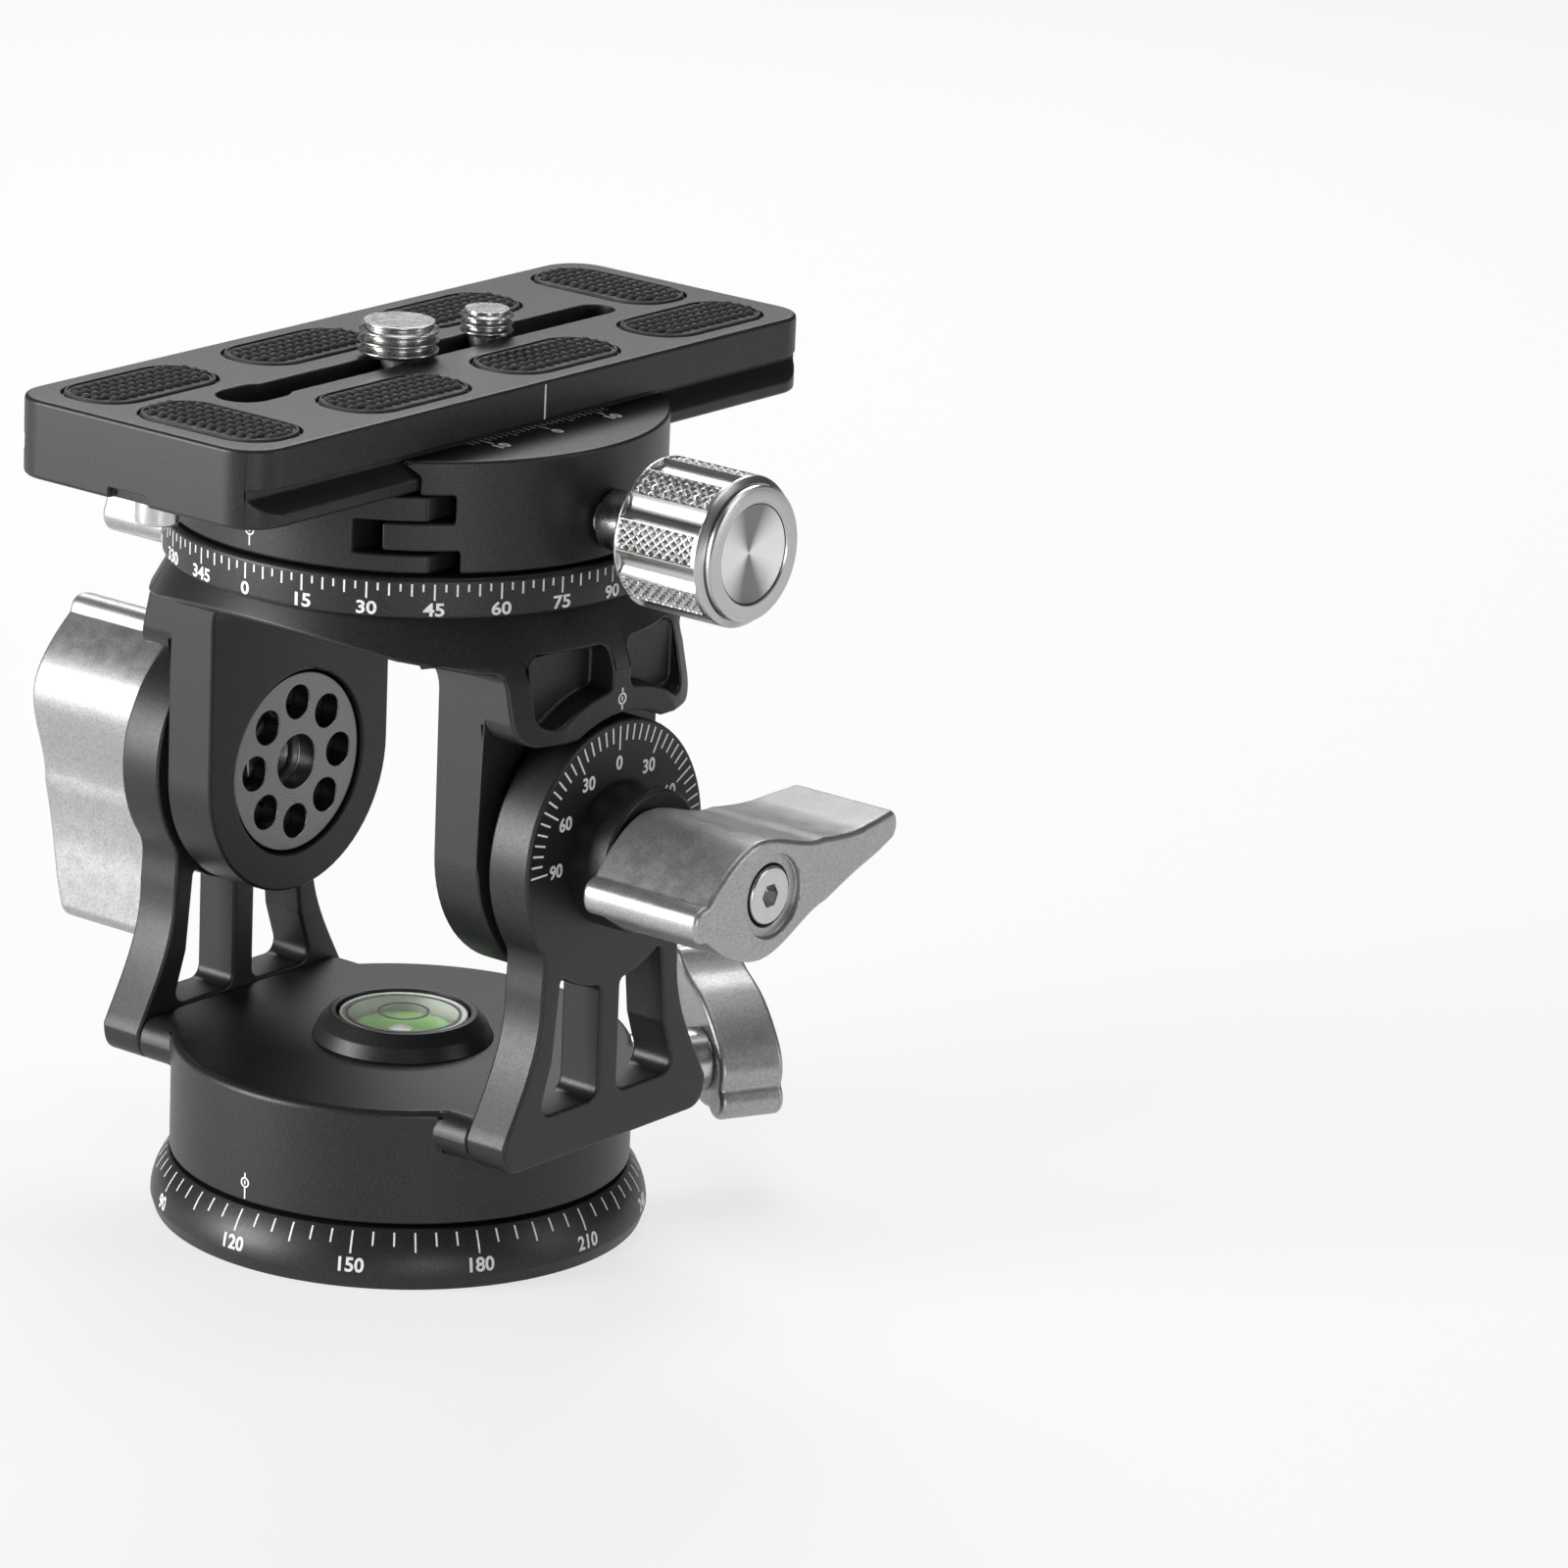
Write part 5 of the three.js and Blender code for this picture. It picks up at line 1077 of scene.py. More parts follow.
def makeTiltJoint():
    n, a, w, v, t = nutSizes, axleSizes, washerSizes, leverSizes, tiltScrewSizes
    for side, name in ((1, "right"), (-1, "left")):
        out = outX(tiltAxis, side)
        holes = [circle(n["holeRadius"], n["holeSteps"], around(n["circle"], k, n["holes"]))
                 for k in range(n["holes"])]
        holes.insert(0, circle(n["bore"], fine["small"]))
        disc = slab(circle(n["radius"]), n["low"], n["high"], holes, crisp)
        dress("nut_" + name + "_faced", placed(disc, out), "turned_silver", ["tilt_nut_" + name], nutShadedPaint)
        axle = tube(a["bore"], a["radius"], *span("tilt_axle_right", 0), soft)
        dress("axle_" + name + "_ground", placed(axle, out), "spring_steel", ["tilt_axle_" + name])
        washer = tube(w["bore"], w["radius"], *span("tilt_washer_right", 0), w["round"])
        dress("washer_" + name + "_cut", placed(washer, out), "slip_plastic", ["tilt_washer_" + name])
        lever = placed(makeLever(name), out)
        dress("lever_" + name + "_cast", lever, "blasted_silver", ["tilt_lever_" + name],
              bevel=bevels["cast"])
        seat = v["inner"] + v["hub"] - v["seatDepth"]
        screw = placed(capScrew(t, seat - t["start"]), out @ lifted(seat))
        dress("tilt_screw_" + name + "_chromed", screw, "chromed_steel", ["tilt_screw_" + name],
              bevel=bevels["screw"])


makeTiltJoint()
print("tilt joint made")

# Lower pan lock
panLockSizes = {
    "hub": 5.2, "long": 15.0, "longHalf": 1.8, "short": 8.2, "shortHalf": 2.3, "waist": 8.6, "low": 40.0,
    "high": 48.5, "tilt": 47, "pin": 2.3, "seat": 3.3, "seatDepth": 2.3, "edge": 0.7,
    "screwStart": 18.7, "screw": 2.7, "neckStart": 28.1, "neck": 4.0, "pinRadius": 2.0, "head": 3.0,
    "headHeight": 2.0, "headShy": 0.3, "socket": 2.5, "socketDepth": 1.2,
}


def wingOutline(s):
    hub, tip, half = s["hub"], s["long"] - s["longHalf"], s["longHalf"]
    strokes = [("arc", (tip, 0), half, -math.pi / 2, math.pi / 2),
               ("curve", (s["waist"], half), (s["waist"], hub), (0, hub))]
    if s["short"] > hub:
        end, small = s["shortHalf"] - s["short"], s["shortHalf"]
        strokes += [("curve", (-hub, hub), (-hub, small), (end, small)),
                    ("arc", (end, 0), small, math.pi / 2, 1.5 * math.pi),
                    ("curve", (-hub, -small), (-hub, -hub), (0, -hub))]
    else:
        strokes.append(("arc", (0, 0), hub, math.pi / 2, 1.5 * math.pi))
    strokes.append(("curve", (s["waist"], -hub), (s["waist"], -half), (tip, -half)))
    return drawn((tip, -half), *strokes)


def makeWing(s):
    return drilled(
        slab(wingOutline(s), s["low"], s["high"], (), s["edge"], fine["corner"]),
        rod(s["pin"], s["low"] - spare, s["high"]),
        rod(s["seat"], s["high"] - s["seatDepth"], s["high"] + spare, fine["mid"]),
    )


def makePanLock():
    s = panLockSizes
    heading = panLockHeading()
    wing = placed(makeWing(s), heading @ turnedBy(s["tilt"]))
    dress("pan_wing_cast", wing, "blasted_silver", ["pan_lock_wing"], bevel=bevels["cast"])
    top = s["high"] - s["headShy"]
    seat = top - s["headHeight"]
    body = lathe([
        (0, s["screwStart"], 0), (s["screw"], s["screwStart"], crisp), (s["screw"], s["neckStart"], 0),
        (s["neck"], s["neckStart"], broad), (s["neck"], s["low"], broad), (s["pinRadius"], s["low"], 0),
        (s["pinRadius"], seat, 0), (s["head"], seat, 0), (s["head"], top, soft), (0, top, 0),
    ], closed=False)
    body = drilled(body, slab(hexagon(s["socket"]), top - s["socketDepth"], top + spare))
    dress("pan_screw_turned", placed(body, heading), "turned_silver", ["pan_lock_screw"],
          paints["chromed_steel"], bevel=bevels["screw"])


makePanLock()
print("lower pan lock made")

# Tilting yoke
yokeSizes = {
    "armOuter": 24.5, "armInner": 17.6, "armHalf": 16.0, "side": 32.1, "crown": 30.0, "crownRadius": 28.5,
    "flare": ((33.8, 14.1), (32.9, 18.7), (32.25, 22.0), (31.3, 24.9)), "under": 24.1, "underRound": 4.0,
    "underHalf": 31.0, "shoulder": 15.1, "shoulderRound": 3.0, "wingRound": 1.6,
    "wing": ((18.2, 23.7), (24.5, 25.2), (32.0, 28.5)),
    "headCut": 16.9, "headEnd": 40.0, "nutCut": 11.4, "nutSeat": 20.6, "axleCut": 6.3,
    "pocketFloor": 28.4, "pocketEnd": 36.0, "pocketArc": 20.0, "pocketTop": 25.4, "pocketIn": 1.6,
    "pocketOut": 13.1, "pocketTurn": 17.6, "pocketLowOut": 10.8, "pocketRound": 1.5, "pocketLowRound": 2.0,
    "pivot": 7.5, "pivotTop": 38.3, "screwHole": 2.8, "screwDeep": 30.9, "bevel": 0.38,
    "socketAt": 22.6, "socketRise": 19.1, "socketCut": 4.0, "socketDeep": 9.2,
}


def crownSection():
    s = yokeSizes
    half = s["armHalf"]
    right = [(half, s["shoulder"], s["shoulderRound"]), (half, s["wing"][0][1], s["wingRound"]),
             *((y, z, 0) for y, z in s["wing"]), (s["wing"][-1][0], s["crown"], 0)]
    return roundedCorners([*right, *mirrored(right)], 0, fine["bend"])


def yokePocket():
    s = yokeSizes
    reach, low, inner = s["pocketArc"], s["pocketLowOut"], s["pocketIn"]
    corners = [
        (inner, s["pocketTop"]), (s["pocketOut"], s["pocketTop"]),
        (s["pocketOut"], s["pocketTurn"], s["pocketLowRound"]),
        (*onCircle(reach, low, 1), s["pocketLowRound"]),
        *alongCircle(reach, low, inner, 1), onCircle(reach, inner, 1),
    ]
    return roundedCorners(corners, s["pocketRound"], fine["bend"])


def makeYoke():
    s = yokeSizes
    crown = [(0, s["flare"][0][1]), *s["flare"], (s["crownRadius"], s["crown"]), (0, s["crown"])]
    section = placed(slab(crownSection(), -s["side"], s["side"]), uprightToX)
    half, under, inner = s["armHalf"], s["under"], s["armInner"]
    armShape = drawn((half, under), ("line", (-half, under)), ("line", (-half, 0)),
                     ("arc", (0, 0), half, math.pi, fullTurn), ("line", (half, under)))
    reach = half + 2 * spare
    between = roundedCorners([
        (-inner, -reach, 0), (inner, -reach, 0), (inner, under), (-inner, under),
    ], s["underRound"], fine["arch"])
    steps = [
        ("INTERSECT", section),
        ("UNION", placed(slab(armShape, -s["armOuter"], s["armOuter"]), uprightToX)),
        ("DIFFERENCE", alongY(slab(between, -s["underHalf"], s["underHalf"]))),
    ]
    window = yokePocket()
    for turn in (0, 180):
        cutters = [
            rod(s["headCut"], s["armOuter"], s["headEnd"], fine["wide"]),
            rod(s["nutCut"], s["armInner"] - spare, s["nutSeat"], fine["mid"]),
            rod(s["axleCut"], s["armInner"], s["armOuter"] + spare, fine["mid"]),
            slab(window, s["pocketFloor"], s["pocketEnd"]),
            slab(mirrored(window), s["pocketFloor"], s["pocketEnd"]),
        ]
        steps += [("DIFFERENCE", placed(cutter, turnedBy(turn) @ uprightToX)) for cutter in cutters]
    for side in (-1, 1):
        barrel = alongY(rod(s["socketCut"], -reach, -s["socketDeep"]))
        steps.append(("DIFFERENCE", placed(barrel, moved(side * s["socketAt"], 0, s["socketRise"]))))
    steps.append(("UNION", rod(s["pivot"], s["crown"] - spare, s["pivotTop"], fine["mid"])))
    steps.append(("DIFFERENCE", rod(s["screwHole"], s["screwDeep"], s["pivotTop"] + spare)))
    body = carved(turned(crown, fine["wide"]), *steps, weld=weldAt["yoke"])
    dress("yoke_milled", placed(body, lifted(tiltAxis)), "black_anodised", ["upper_yoke"], bevel=s["bevel"])


socketSizes = {
    "across": 8.6, "face": 17.2, "seat": 16.0, "deep": 9.5, "barrel": 3.7, "bore": 3.175, "root": 3.45,
    "lead": 0.6, "pitch": 0.8, "ridgeRound": 0.06, "flare": 0.45, "lip": 0.4, "shy": 0.05,
}


def makeHandleSockets():
    s = socketSizes
    ridges = []
    place = s["face"] - s["lead"]
    while place > s["deep"] + s["lead"]:
        ridges += [(s["bore"], place, s["ridgeRound"]), (s["root"], place - s["pitch"] / 2, s["ridgeRound"])]
        place -= s["pitch"]
    for side, name in ((1, "right"), (-1, "left")):
        mouth, collar = s["bore"] + s["flare"], s["seat"] + s["lip"]
        barrel = lathe([
            (s["barrel"], s["deep"], hair), (s["barrel"], collar, 0), (mouth, collar, 0),
            (mouth, s["face"] - s["shy"], 0), *ridges, (s["bore"], s["deep"], 0),
        ], fine["small"])
        bore = circle(s["bore"] + s["lip"], fine["small"])
        insert = joined(barrel, slab(hexagon(s["across"]), s["seat"], s["face"], (bore,), crisp))
        matrix = moved(side * yokeSizes["socketAt"], 0, tiltAxis + yokeSizes["socketRise"])
        insert = placed(insert, matrix @ uprightToY @ turnedBy(180, "X"))
        dress("handle_socket_" + name + "_cut", insert, "black_steel", ["handle_socket_" + name])


yokeMark = {"x": 32.1, "low": 17.35, "high": 20.0, "circle": 18.7, "radius": 0.62}


def makeYokeMarks():
    marks = newMarks()
    for side in (-1, 1):
        place = onSide(yokeMark["x"], side)
        low, high, at = (tiltAxis + yokeMark[key] for key in ("low", "high", "circle"))
        addIndex(marks, place, 0, low, high, at, yokeMark["radius"])
    dressMarks("yoke_marks", marks, "yoke")


makeYoke()
makeHandleSockets()
makeYokeMarks()
print("yoke made")

# Degree ring on the yoke
ringSizes = {"radius": 30.0, "bore": 7.8, "low": 82.1, "high": 87.0, "edge": 0.6}
ringDial = {
    "top": 86.35, "step": 2.5, "longEvery": 15, "middleEvery": 5, "short": 0.9, "middle": 1.45, "long": 1.9,
    "thick": 0.22, "labelAt": 83.35, "labelHeight": 1.6, "labelWide": 1.18,
}


def makeScaleRing():
    s, d = ringSizes, ringDial
    ring = lathe([
        (s["bore"], s["low"], 0), (s["radius"], s["low"], s["edge"]), (s["radius"], s["high"], s["edge"]),
        (s["bore"], s["high"], 0),
    ], fine["wide"])
    dress("scale_ring_turned", ring, "black_anodised", ["scale_ring"])
    marks = newMarks()
    for k in range(round(360 / d["step"])):
        value = k * d["step"]
        place = onDrum(lambda height: s["radius"], value)
        addBar(marks, place, -d["thick"] / 2, d["thick"] / 2, d["top"] - barLength(d, value), d["top"])
        if value % d["longEvery"] == 0:
            addNumber(marks, place, str(round(value)), d["labelHeight"], (0, d["labelAt"]), d["labelWide"])
    dressMarks("ring_marks", marks, "yoke")


makeScaleRing()
print("degree ring made")

# Panning clamp: base, jaw, lock
clampSizes = {
    "radius": 29.4, "height": 13.4, "edge": 0.45, "lowerStep": 2.3, "middleStep": 6.2, "floor": 9.2,
    "groove": 6.7, "lower": 20.2, "slot": 12.85, "slotTop": 6.15, "upper": 20.1, "lip": 19.3, "lipTop": 17.3,
    "lipLow": 11.5, "lipRise": 13.5, "recess": 3.7, "pivotCut": 7.8, "screwHole": 2.8, "rise": 4.6,
    "pinHole": 1.75, "pinSpread": 14.0, "pinStart": 8.5, "knobHole": 2.8, "knobStart": 8.1, "lockHole": 2.4,
    "lockStart": 6.8, "lockRise": 3.0, "bevel": 0.34,
}
jawSizes = {
    "lower": 22.6, "upper": 22.2, "tongue": 15.95, "ledge": 9.3, "under": 2.7, "top": 6.05, "pinRadius": 1.5,
    "pinStart": 8.8, "pinEnd": 23.5, "pinRoom": 0.3,
}
clampReach = clampSizes["radius"] + spare


def clampBody(section, cutters):  # a slice of the round clamp
    s = clampSizes
    disc = lathe([
        (0, 0, 0), (s["radius"], 0, s["edge"]), (s["radius"], s["height"], s["edge"]), (0, s["height"], 0),
    ], fine["wide"], closed=False)
    body = carved(disc, ("INTERSECT", alongY(slab(section, -clampReach, clampReach))),
                  *(("DIFFERENCE", cutter) for cutter in cutters))
    return placed(body, lifted(clampFoot))


def guideHoles(start, end):  # for the two pins that lead the jaw
    s = clampSizes
    holes = []
    for side in (-1, 1):
        hole = placed(rod(s["pinHole"], start, end), outX(s["rise"]))
        holes.append(placed(hole, moved(0, side * s["pinSpread"])))
    return holes


def makeClamp():
    s = clampSizes
    section = [
        (-clampReach, -spare), (s["lower"], -spare), (s["lower"], s["lowerStep"]),
        (s["slot"], s["lowerStep"]), (s["slot"], s["slotTop"]), (s["upper"], s["middleStep"]),
        (s["upper"], s["floor"]), (s["groove"], s["floor"]), (s["groove"], s["middleStep"]),
        (-s["groove"], s["middleStep"]),
        (-s["groove"], s["floor"]), (-s["lip"], s["floor"]), (-s["lip"], s["lipLow"]),
        (-s["lipTop"], s["lipRise"]), (-s["lipTop"], s["height"] + spare), (-clampReach, s["height"] + spare),
    ]
    body = clampBody(section, [
        rod(s["pivotCut"], -spare, s["recess"], fine["mid"]),
        rod(s["screwHole"], 0, s["height"]),
        *guideHoles(s["pinStart"], clampReach),
        placed(rod(s["knobHole"], s["knobStart"], clampReach), outX(s["rise"])),
        placed(rod(s["lockHole"], s["lockStart"], clampReach), outX(s["lockRise"], -1)),
    ])
    dress("clamp_base_milled", body, "black_anodised", ["clamp_base"], bevel=s["bevel"])


def makeJaw():
    s, j = clampSizes, jawSizes
    top = s["height"] + spare
    section = [
        (j["lower"], -spare), (clampReach, -spare), (clampReach, top), (s["lipTop"], top),
        (s["lipTop"], s["lipRise"]), (s["lip"], s["lipLow"]), (s["lip"], j["ledge"]),
        (j["upper"], j["ledge"]), (j["upper"], j["top"]), (j["tongue"], j["top"]),
        (j["tongue"], j["under"]), (j["lower"], j["under"]),
    ]
    start = j["tongue"] - spare
    body = clampBody(section, [
        placed(rod(s["knobHole"], start, clampReach), outX(s["rise"])),
        *guideHoles(start, j["pinEnd"] + j["pinRoom"]),
    ])
    dress("clamp_jaw_milled", body, "black_anodised", ["clamp_jaw"], bevel=s["bevel"])
    for side, name in ((-1, "front"), (1, "rear")):
        pin = lathe([
            (0, j["pinStart"], 0), (j["pinRadius"], j["pinStart"], soft), (j["pinRadius"], j["pinEnd"], soft),
            (0, j["pinEnd"], 0),
        ], fine["small"], closed=False)
        matrix = moved(0, side * s["pinSpread"]) @ outX(clampFoot + s["rise"])
        dress("jaw_pin_" + name + "_ground", placed(pin, matrix), "spring_steel", ["jaw_pin_" + name])


clampMarks = {
    "edge": 17.55, "reach": 12, "longEvery": 10, "middleEvery": 5, "short": 1.0, "middle": 1.6, "long": 2.2,
    "thick": 0.2, "labels": (-10, 0, 10), "labelAt": 21.0, "labelHeight": 1.7, "indexLow": 1.0,
    "indexHigh": 4.6, "circle": 2.9, "circleRadius": 0.6,
}


def makeClampMarks():
    s = clampMarks
    top = clampFoot + clampSizes["height"]
    marks = newMarks()

    def place(u, v, w):
        return v, u, top + w

    def numberPlace(u, v, w):
        return 2 * s["labelAt"] - v, u, top + w

    for value in range(-s["reach"], s["reach"] + 1):
        end = s["edge"] + barLength(s, value)
        addBar(marks, place, value - s["thick"] / 2, value + s["thick"] / 2, s["edge"], end)
        if value in s["labels"]:
            addNumber(marks, numberPlace, str(abs(value)), s["labelHeight"], (value, s["labelAt"]))
    dressMarks("jaw_marks", marks, "jaw")
    index = newMarks()
    low, high, at = (clampFoot + s[key] for key in ("indexLow", "indexHigh", "circle"))
    drum = onDrum(lambda height: clampSizes["radius"])
    addIndex(index, drum, 0, low, high, at, s["circleRadius"], s["thick"])
    dressMarks("clamp_mark", index, "clamp")


lockSizes = {
    "hub": 4.8, "long": 14.5, "longHalf": 2.3, "short": 0, "waist": 9.0, "low": 33.1, "high": 44.1,
    "pin": 2.4, "seat": 3.1, "seatDepth": 2.3, "edge": 0.7, "shank": 2.1, "screwStart": 13.3, "head": 2.8,
    "headHeight": 2.0, "headShy": 0.3, "socket": 2.5, "socketDepth": 1.2, "tail": -66,
}


def makeClampLock():
    s = lockSizes
    out = outX(clampFoot + clampSizes["lockRise"], -1)
    wing = placed(makeWing(s), out @ turnedBy(s["tail"]))
    dress("clamp_wing_cast", wing, "blasted_silver", ["clamp_lock_wing"], bevel=bevels["cast"])
    seat = s["high"] - s["headShy"] - s["headHeight"]
    screw = placed(capScrew(s, seat - s["screwStart"]), out @ lifted(seat))
    dress("clamp_screw_chromed", screw, "chromed_steel", ["clamp_lock_screw"], bevel=bevels["screw"])


makeClamp()
makeJaw()
makeClampMarks()
makeClampLock()
print("panning clamp made")

# Knurled jaw knob
knobSizes = {
    "start": 36.8, "end": 50.7, "radius": 8.9, "edge": 0.7, "bore": 2.8, "flutes": 8, "flute": 2.3,
    "bite": 0.8, "fluteTurn": 13, "fluteLow": 37.3, "fluteHigh": 49.0, "fluteFade": 0.35, "groove": 49.75,
    "grooveEnd": 50.0, "grooveRadius": 7.65, "shoulderIn": 0.12, "shoulderUp": 0.25, "face": 8.0,
    "faceEdge": 0.25, "faceRound": 0.08, "dish": 5.9, "dishEdge": 0.15, "dishFloor": 49.3, "knurls": 48,
    "knurlPitch": 1.23, "knurlDepth": 0.36, "knurlLow": 37.6, "knurlHigh": 48.5, "knurlFade": 0.25,
    "knurlRim": 0.012, "bandColumns": 48, "fluteColumns": 12, "rows": 120,
}


def tooth(x):
    return 1 - abs(2 * (x - math.floor(x)) - 1)


def fromFlute(angle):  # the angle to the nearest flute's middle
    sector = fullTurn / knobSizes["flutes"]
    return (angle - math.radians(knobSizes["fluteTurn"]) + sector / 2) % sector - sector / 2


def fluteRadiusAt(angle):
    s = knobSizes
    offset = s["radius"] + s["flute"] - s["bite"]
    away = fromFlute(angle)
    across = offset * math.sin(away)
    if abs(across) >= s["flute"]:
        return s["radius"]
    return min(s["radius"], offset * math.cos(away) - math.sqrt(s["flute"] ** 2 - across ** 2))


def knobAngles():
    s = knobSizes
    offset = s["radius"] + s["flute"] - s["bite"]
    half = math.acos((s["radius"] ** 2 + offset ** 2 - s["flute"] ** 2) / (2 * s["radius"] * offset))
    sector = fullTurn / s["flutes"]
    band = sector - 2 * half
    angles = []
    for i in range(s["flutes"]):
        centre = i * sector + math.radians(s["fluteTurn"])
        angles += [centre - half + 2 * half * k / s["fluteColumns"] for k in range(s["fluteColumns"])]
        angles += [centre + half + band * k / s["bandColumns"] for k in range(s["bandColumns"])]
    return angles, half


def gripReach(angle, place, half):  # the grip's radius, with its flutes and its knurled bands
    s = knobSizes
    radius = s["radius"]
    fromEnd = min(place - s["fluteLow"], s["fluteHigh"] - place)
    fade = min(1, fromEnd / s["fluteFade"])  # the flutes run out in a short round
    inKnurl = min(place - s["knurlLow"], s["knurlHigh"] - place)
    if abs(fromFlute(angle)) > half + s["knurlRim"] and inKnurl > 0:
        turns = angle * s["knurls"] / fullTurn
        along = place / s["knurlPitch"]
        peak = min(tooth(turns + along), tooth(turns - along))
        return radius - s["knurlDepth"] * (1 - peak) * min(1, inKnurl / s["knurlFade"])
    return radius - (radius - fluteRadiusAt(angle)) * math.sqrt(1 - (1 - fade) ** 2)


def makeGrip():
    s = knobSizes
    angles, half = knobAngles()
    edge, radius, groove = s["edge"], s["radius"], s["groove"]
    face, end, dish = s["face"], s["end"], s["dish"]
    plainStart = [(s["bore"], s["start"]), (radius - edge, s["start"]), (radius - crisp, s["start"] + crisp),
                  (radius, s["start"] + edge)]
    plainEnd = [
        (radius, groove - edge), (radius - s["shoulderIn"], groove - edge + s["shoulderUp"]),
        (radius - edge, groove - s["faceRound"]), (radius - edge - hair, groove), (s["grooveRadius"], groove),
        (s["grooveRadius"], s["grooveEnd"]), (face - hair, s["grooveEnd"]), (face, s["grooveEnd"] + hair),
        (face, end - s["faceEdge"]), (face - s["faceRound"], end - s["faceRound"]),
        (face - s["faceEdge"], end), (dish + s["dishEdge"], end), (dish, end - s["dishEdge"]),
        (dish, s["dishFloor"]), (s["bore"], s["dishFloor"]),
    ]
    rows = [[(reach, place)] * len(angles) for reach, place in plainStart]
    for k in range(s["rows"] + 1):
        place = s["fluteLow"] + (s["fluteHigh"] - s["fluteLow"]) * (k / s["rows"])
        rows.append([(gripReach(angle, place, half), place) for angle in angles])
    rows += [[(reach, place)] * len(angles) for reach, place in plainEnd]
    points, faces = [], []
    count = len(angles)
    for row in rows:
        for angle, (reach, place) in zip(angles, row):
            points.append((reach * math.cos(angle), reach * math.sin(angle), place))
    for r in range(len(rows)):
        below = r * count
        above = ((r + 1) % len(rows)) * count
        for i in range(count):
            j = (i + 1) % count
            faces.append((below + i, below + j, above + j, above + i))
    grip = placed(meshFrom(points, faces, weldAt["marks"]), outX(knobMiddle[2]))
    dress("knob_grip_knurled", grip, "turned_silver", ["knob_grip"], sharp=28)


knobScrewSizes = {
    "radius": 2.5, "root": 2.1, "lead": 0.4, "pitch": 0.8, "ridgeRound": 0.08, "lastRidge": 29.0,
    "neckStart": 29.8, "neck": 3.55, "neckEnd": 34.5,
}
knobCollarSizes = {"bore": 2.8, "start": 34.5, "small": 4.4, "radius": 6.6, "coneEnd": 36.4, "end": 36.8}
knobDiscSizes = {"radius": 5.78, "rim": 0.25, "dish": 0.62, "rings": 12}


def makeKnob():
    s, c, d = knobScrewSizes, knobCollarSizes, knobDiscSizes
    out = outX(knobMiddle[2])
    makeGrip()
    low, high = span("knob_screw", 0)
    threads = []
    place = low + s["lead"]
    while place < s["lastRidge"]:
        threads += [(s["radius"], place, s["ridgeRound"])]
        threads += [(s["root"], place + s["pitch"] / 2, s["ridgeRound"])]
        place += s["pitch"]
    screw = lathe([
        (0, low, 0), (s["root"], low, 0), *threads, (s["radius"], s["neckStart"], 0),
        (s["neck"], s["neckStart"], soft), (s["neck"], s["neckEnd"], crisp), (s["radius"], s["neckEnd"], 0),
        (s["radius"], high, 0), (0, high, 0),
    ], closed=False)
    dress("knob_screw_turned", placed(screw, out), "turned_silver", ["knob_screw"], paints["chromed_steel"])
    collar = lathe([
        (c["bore"], c["start"], 0), (c["small"], c["start"], soft), (c["radius"], c["coneEnd"], broad),
        (c["radius"], c["end"], hair), (c["bore"], c["end"], 0),
    ], fine["wide"])
    dress("knob_collar_turned", placed(collar, out), "turned_silver", ["knob_collar"])
    low, high = span("knob_cap", 0)
    shares = [k / d["rings"] for k in range(d["rings"] + 1)]
    dish = [(d["radius"] * share, high - d["rim"] + d["dish"] * share ** 2) for share in shares]
    disc = turned([(0, low), (d["radius"], low), *reversed(dish)], fine["wide"])
    dress("knob_disc_spun", placed(disc, out), "turned_silver", ["knob_cap"], paintedFanDiscPaint)


makeKnob()
print("knob made")

# Quick-release plate with pads and camera screws
plateSizes = {
    "half": 19.0, "length": 50.0, "corner": 5.0, "height": 9.3, "groove": 17.0, "rootRise": 3.5,
    "sideCut": (21.0, -0.5), "flange": 4.6, "edge": 0.5, "notch": 3.0, "notchDepth": 1.0, "notchRise": 1.3,
    "under": 6.8, "channel": 5.5, "channelEnd": 36.0, "slot": 2.4, "slotEnd": 34.0, "key": 3.3,
    "keyEnd": 4.75, "keyMiddle": -29.25, "stopHole": 1.8, "stopDeep": 5.3, "bevel": 0.22,
}
plateMark = {"thick": 0.28, "low": 4.75, "high": 8.85}
padSizes = {
    "length": 20.1, "half": 5.1, "round": 4.6, "low": 105.7, "room": 0.3, "rim": 0.35, "rimHigh": 106.52,
    "edge": 0.2, "edgeRounds": 2, "field": 106.3, "clear": 0.8, "pitch": 1.5, "point": 0.66,
    "pointTop": 106.9, "pointSides": 8, "pointRings": ((1.0, 0), (0.9, 0.42), (0.55, 0.85)),
    "pointSunk": 0.02,
}


def padOutline(grow):
    s = padSizes
    side, half = s["half"] + grow, s["length"] / 2 + grow
    return roundedCorners(oblong(side, half), s["round"] + grow, fine["pad"])


def padHalfAt(y, grow):  # half the pad's width at this distance from its middle
    s = padSizes
    inEnd = abs(y) - (s["length"] / 2 - s["round"])
    radius = s["round"] + grow
    if inEnd >= radius:
        return 0
    return s["half"] - s["round"] + math.sqrt(radius ** 2 - max(0, inEnd) ** 2)


def padPlaces():
    places = []
    for k in range(8):
        low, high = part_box("rubber_pad_" + str(k + 1))
        centre = (low + high) / 2 / mm
        turn = 90 if high.x - low.x > high.y - low.y else 0
        places.append((centre.x, centre.y, turn))
    return places


def stadium(half, end, centre=0):
    top = [around(half, k, 2 * fine["slotEnd"], (0, centre + end - half)) for k in range(fine["slotEnd"] + 1)]
    low = [(-x, 2 * centre - y) for x, y in top]
    return top + low


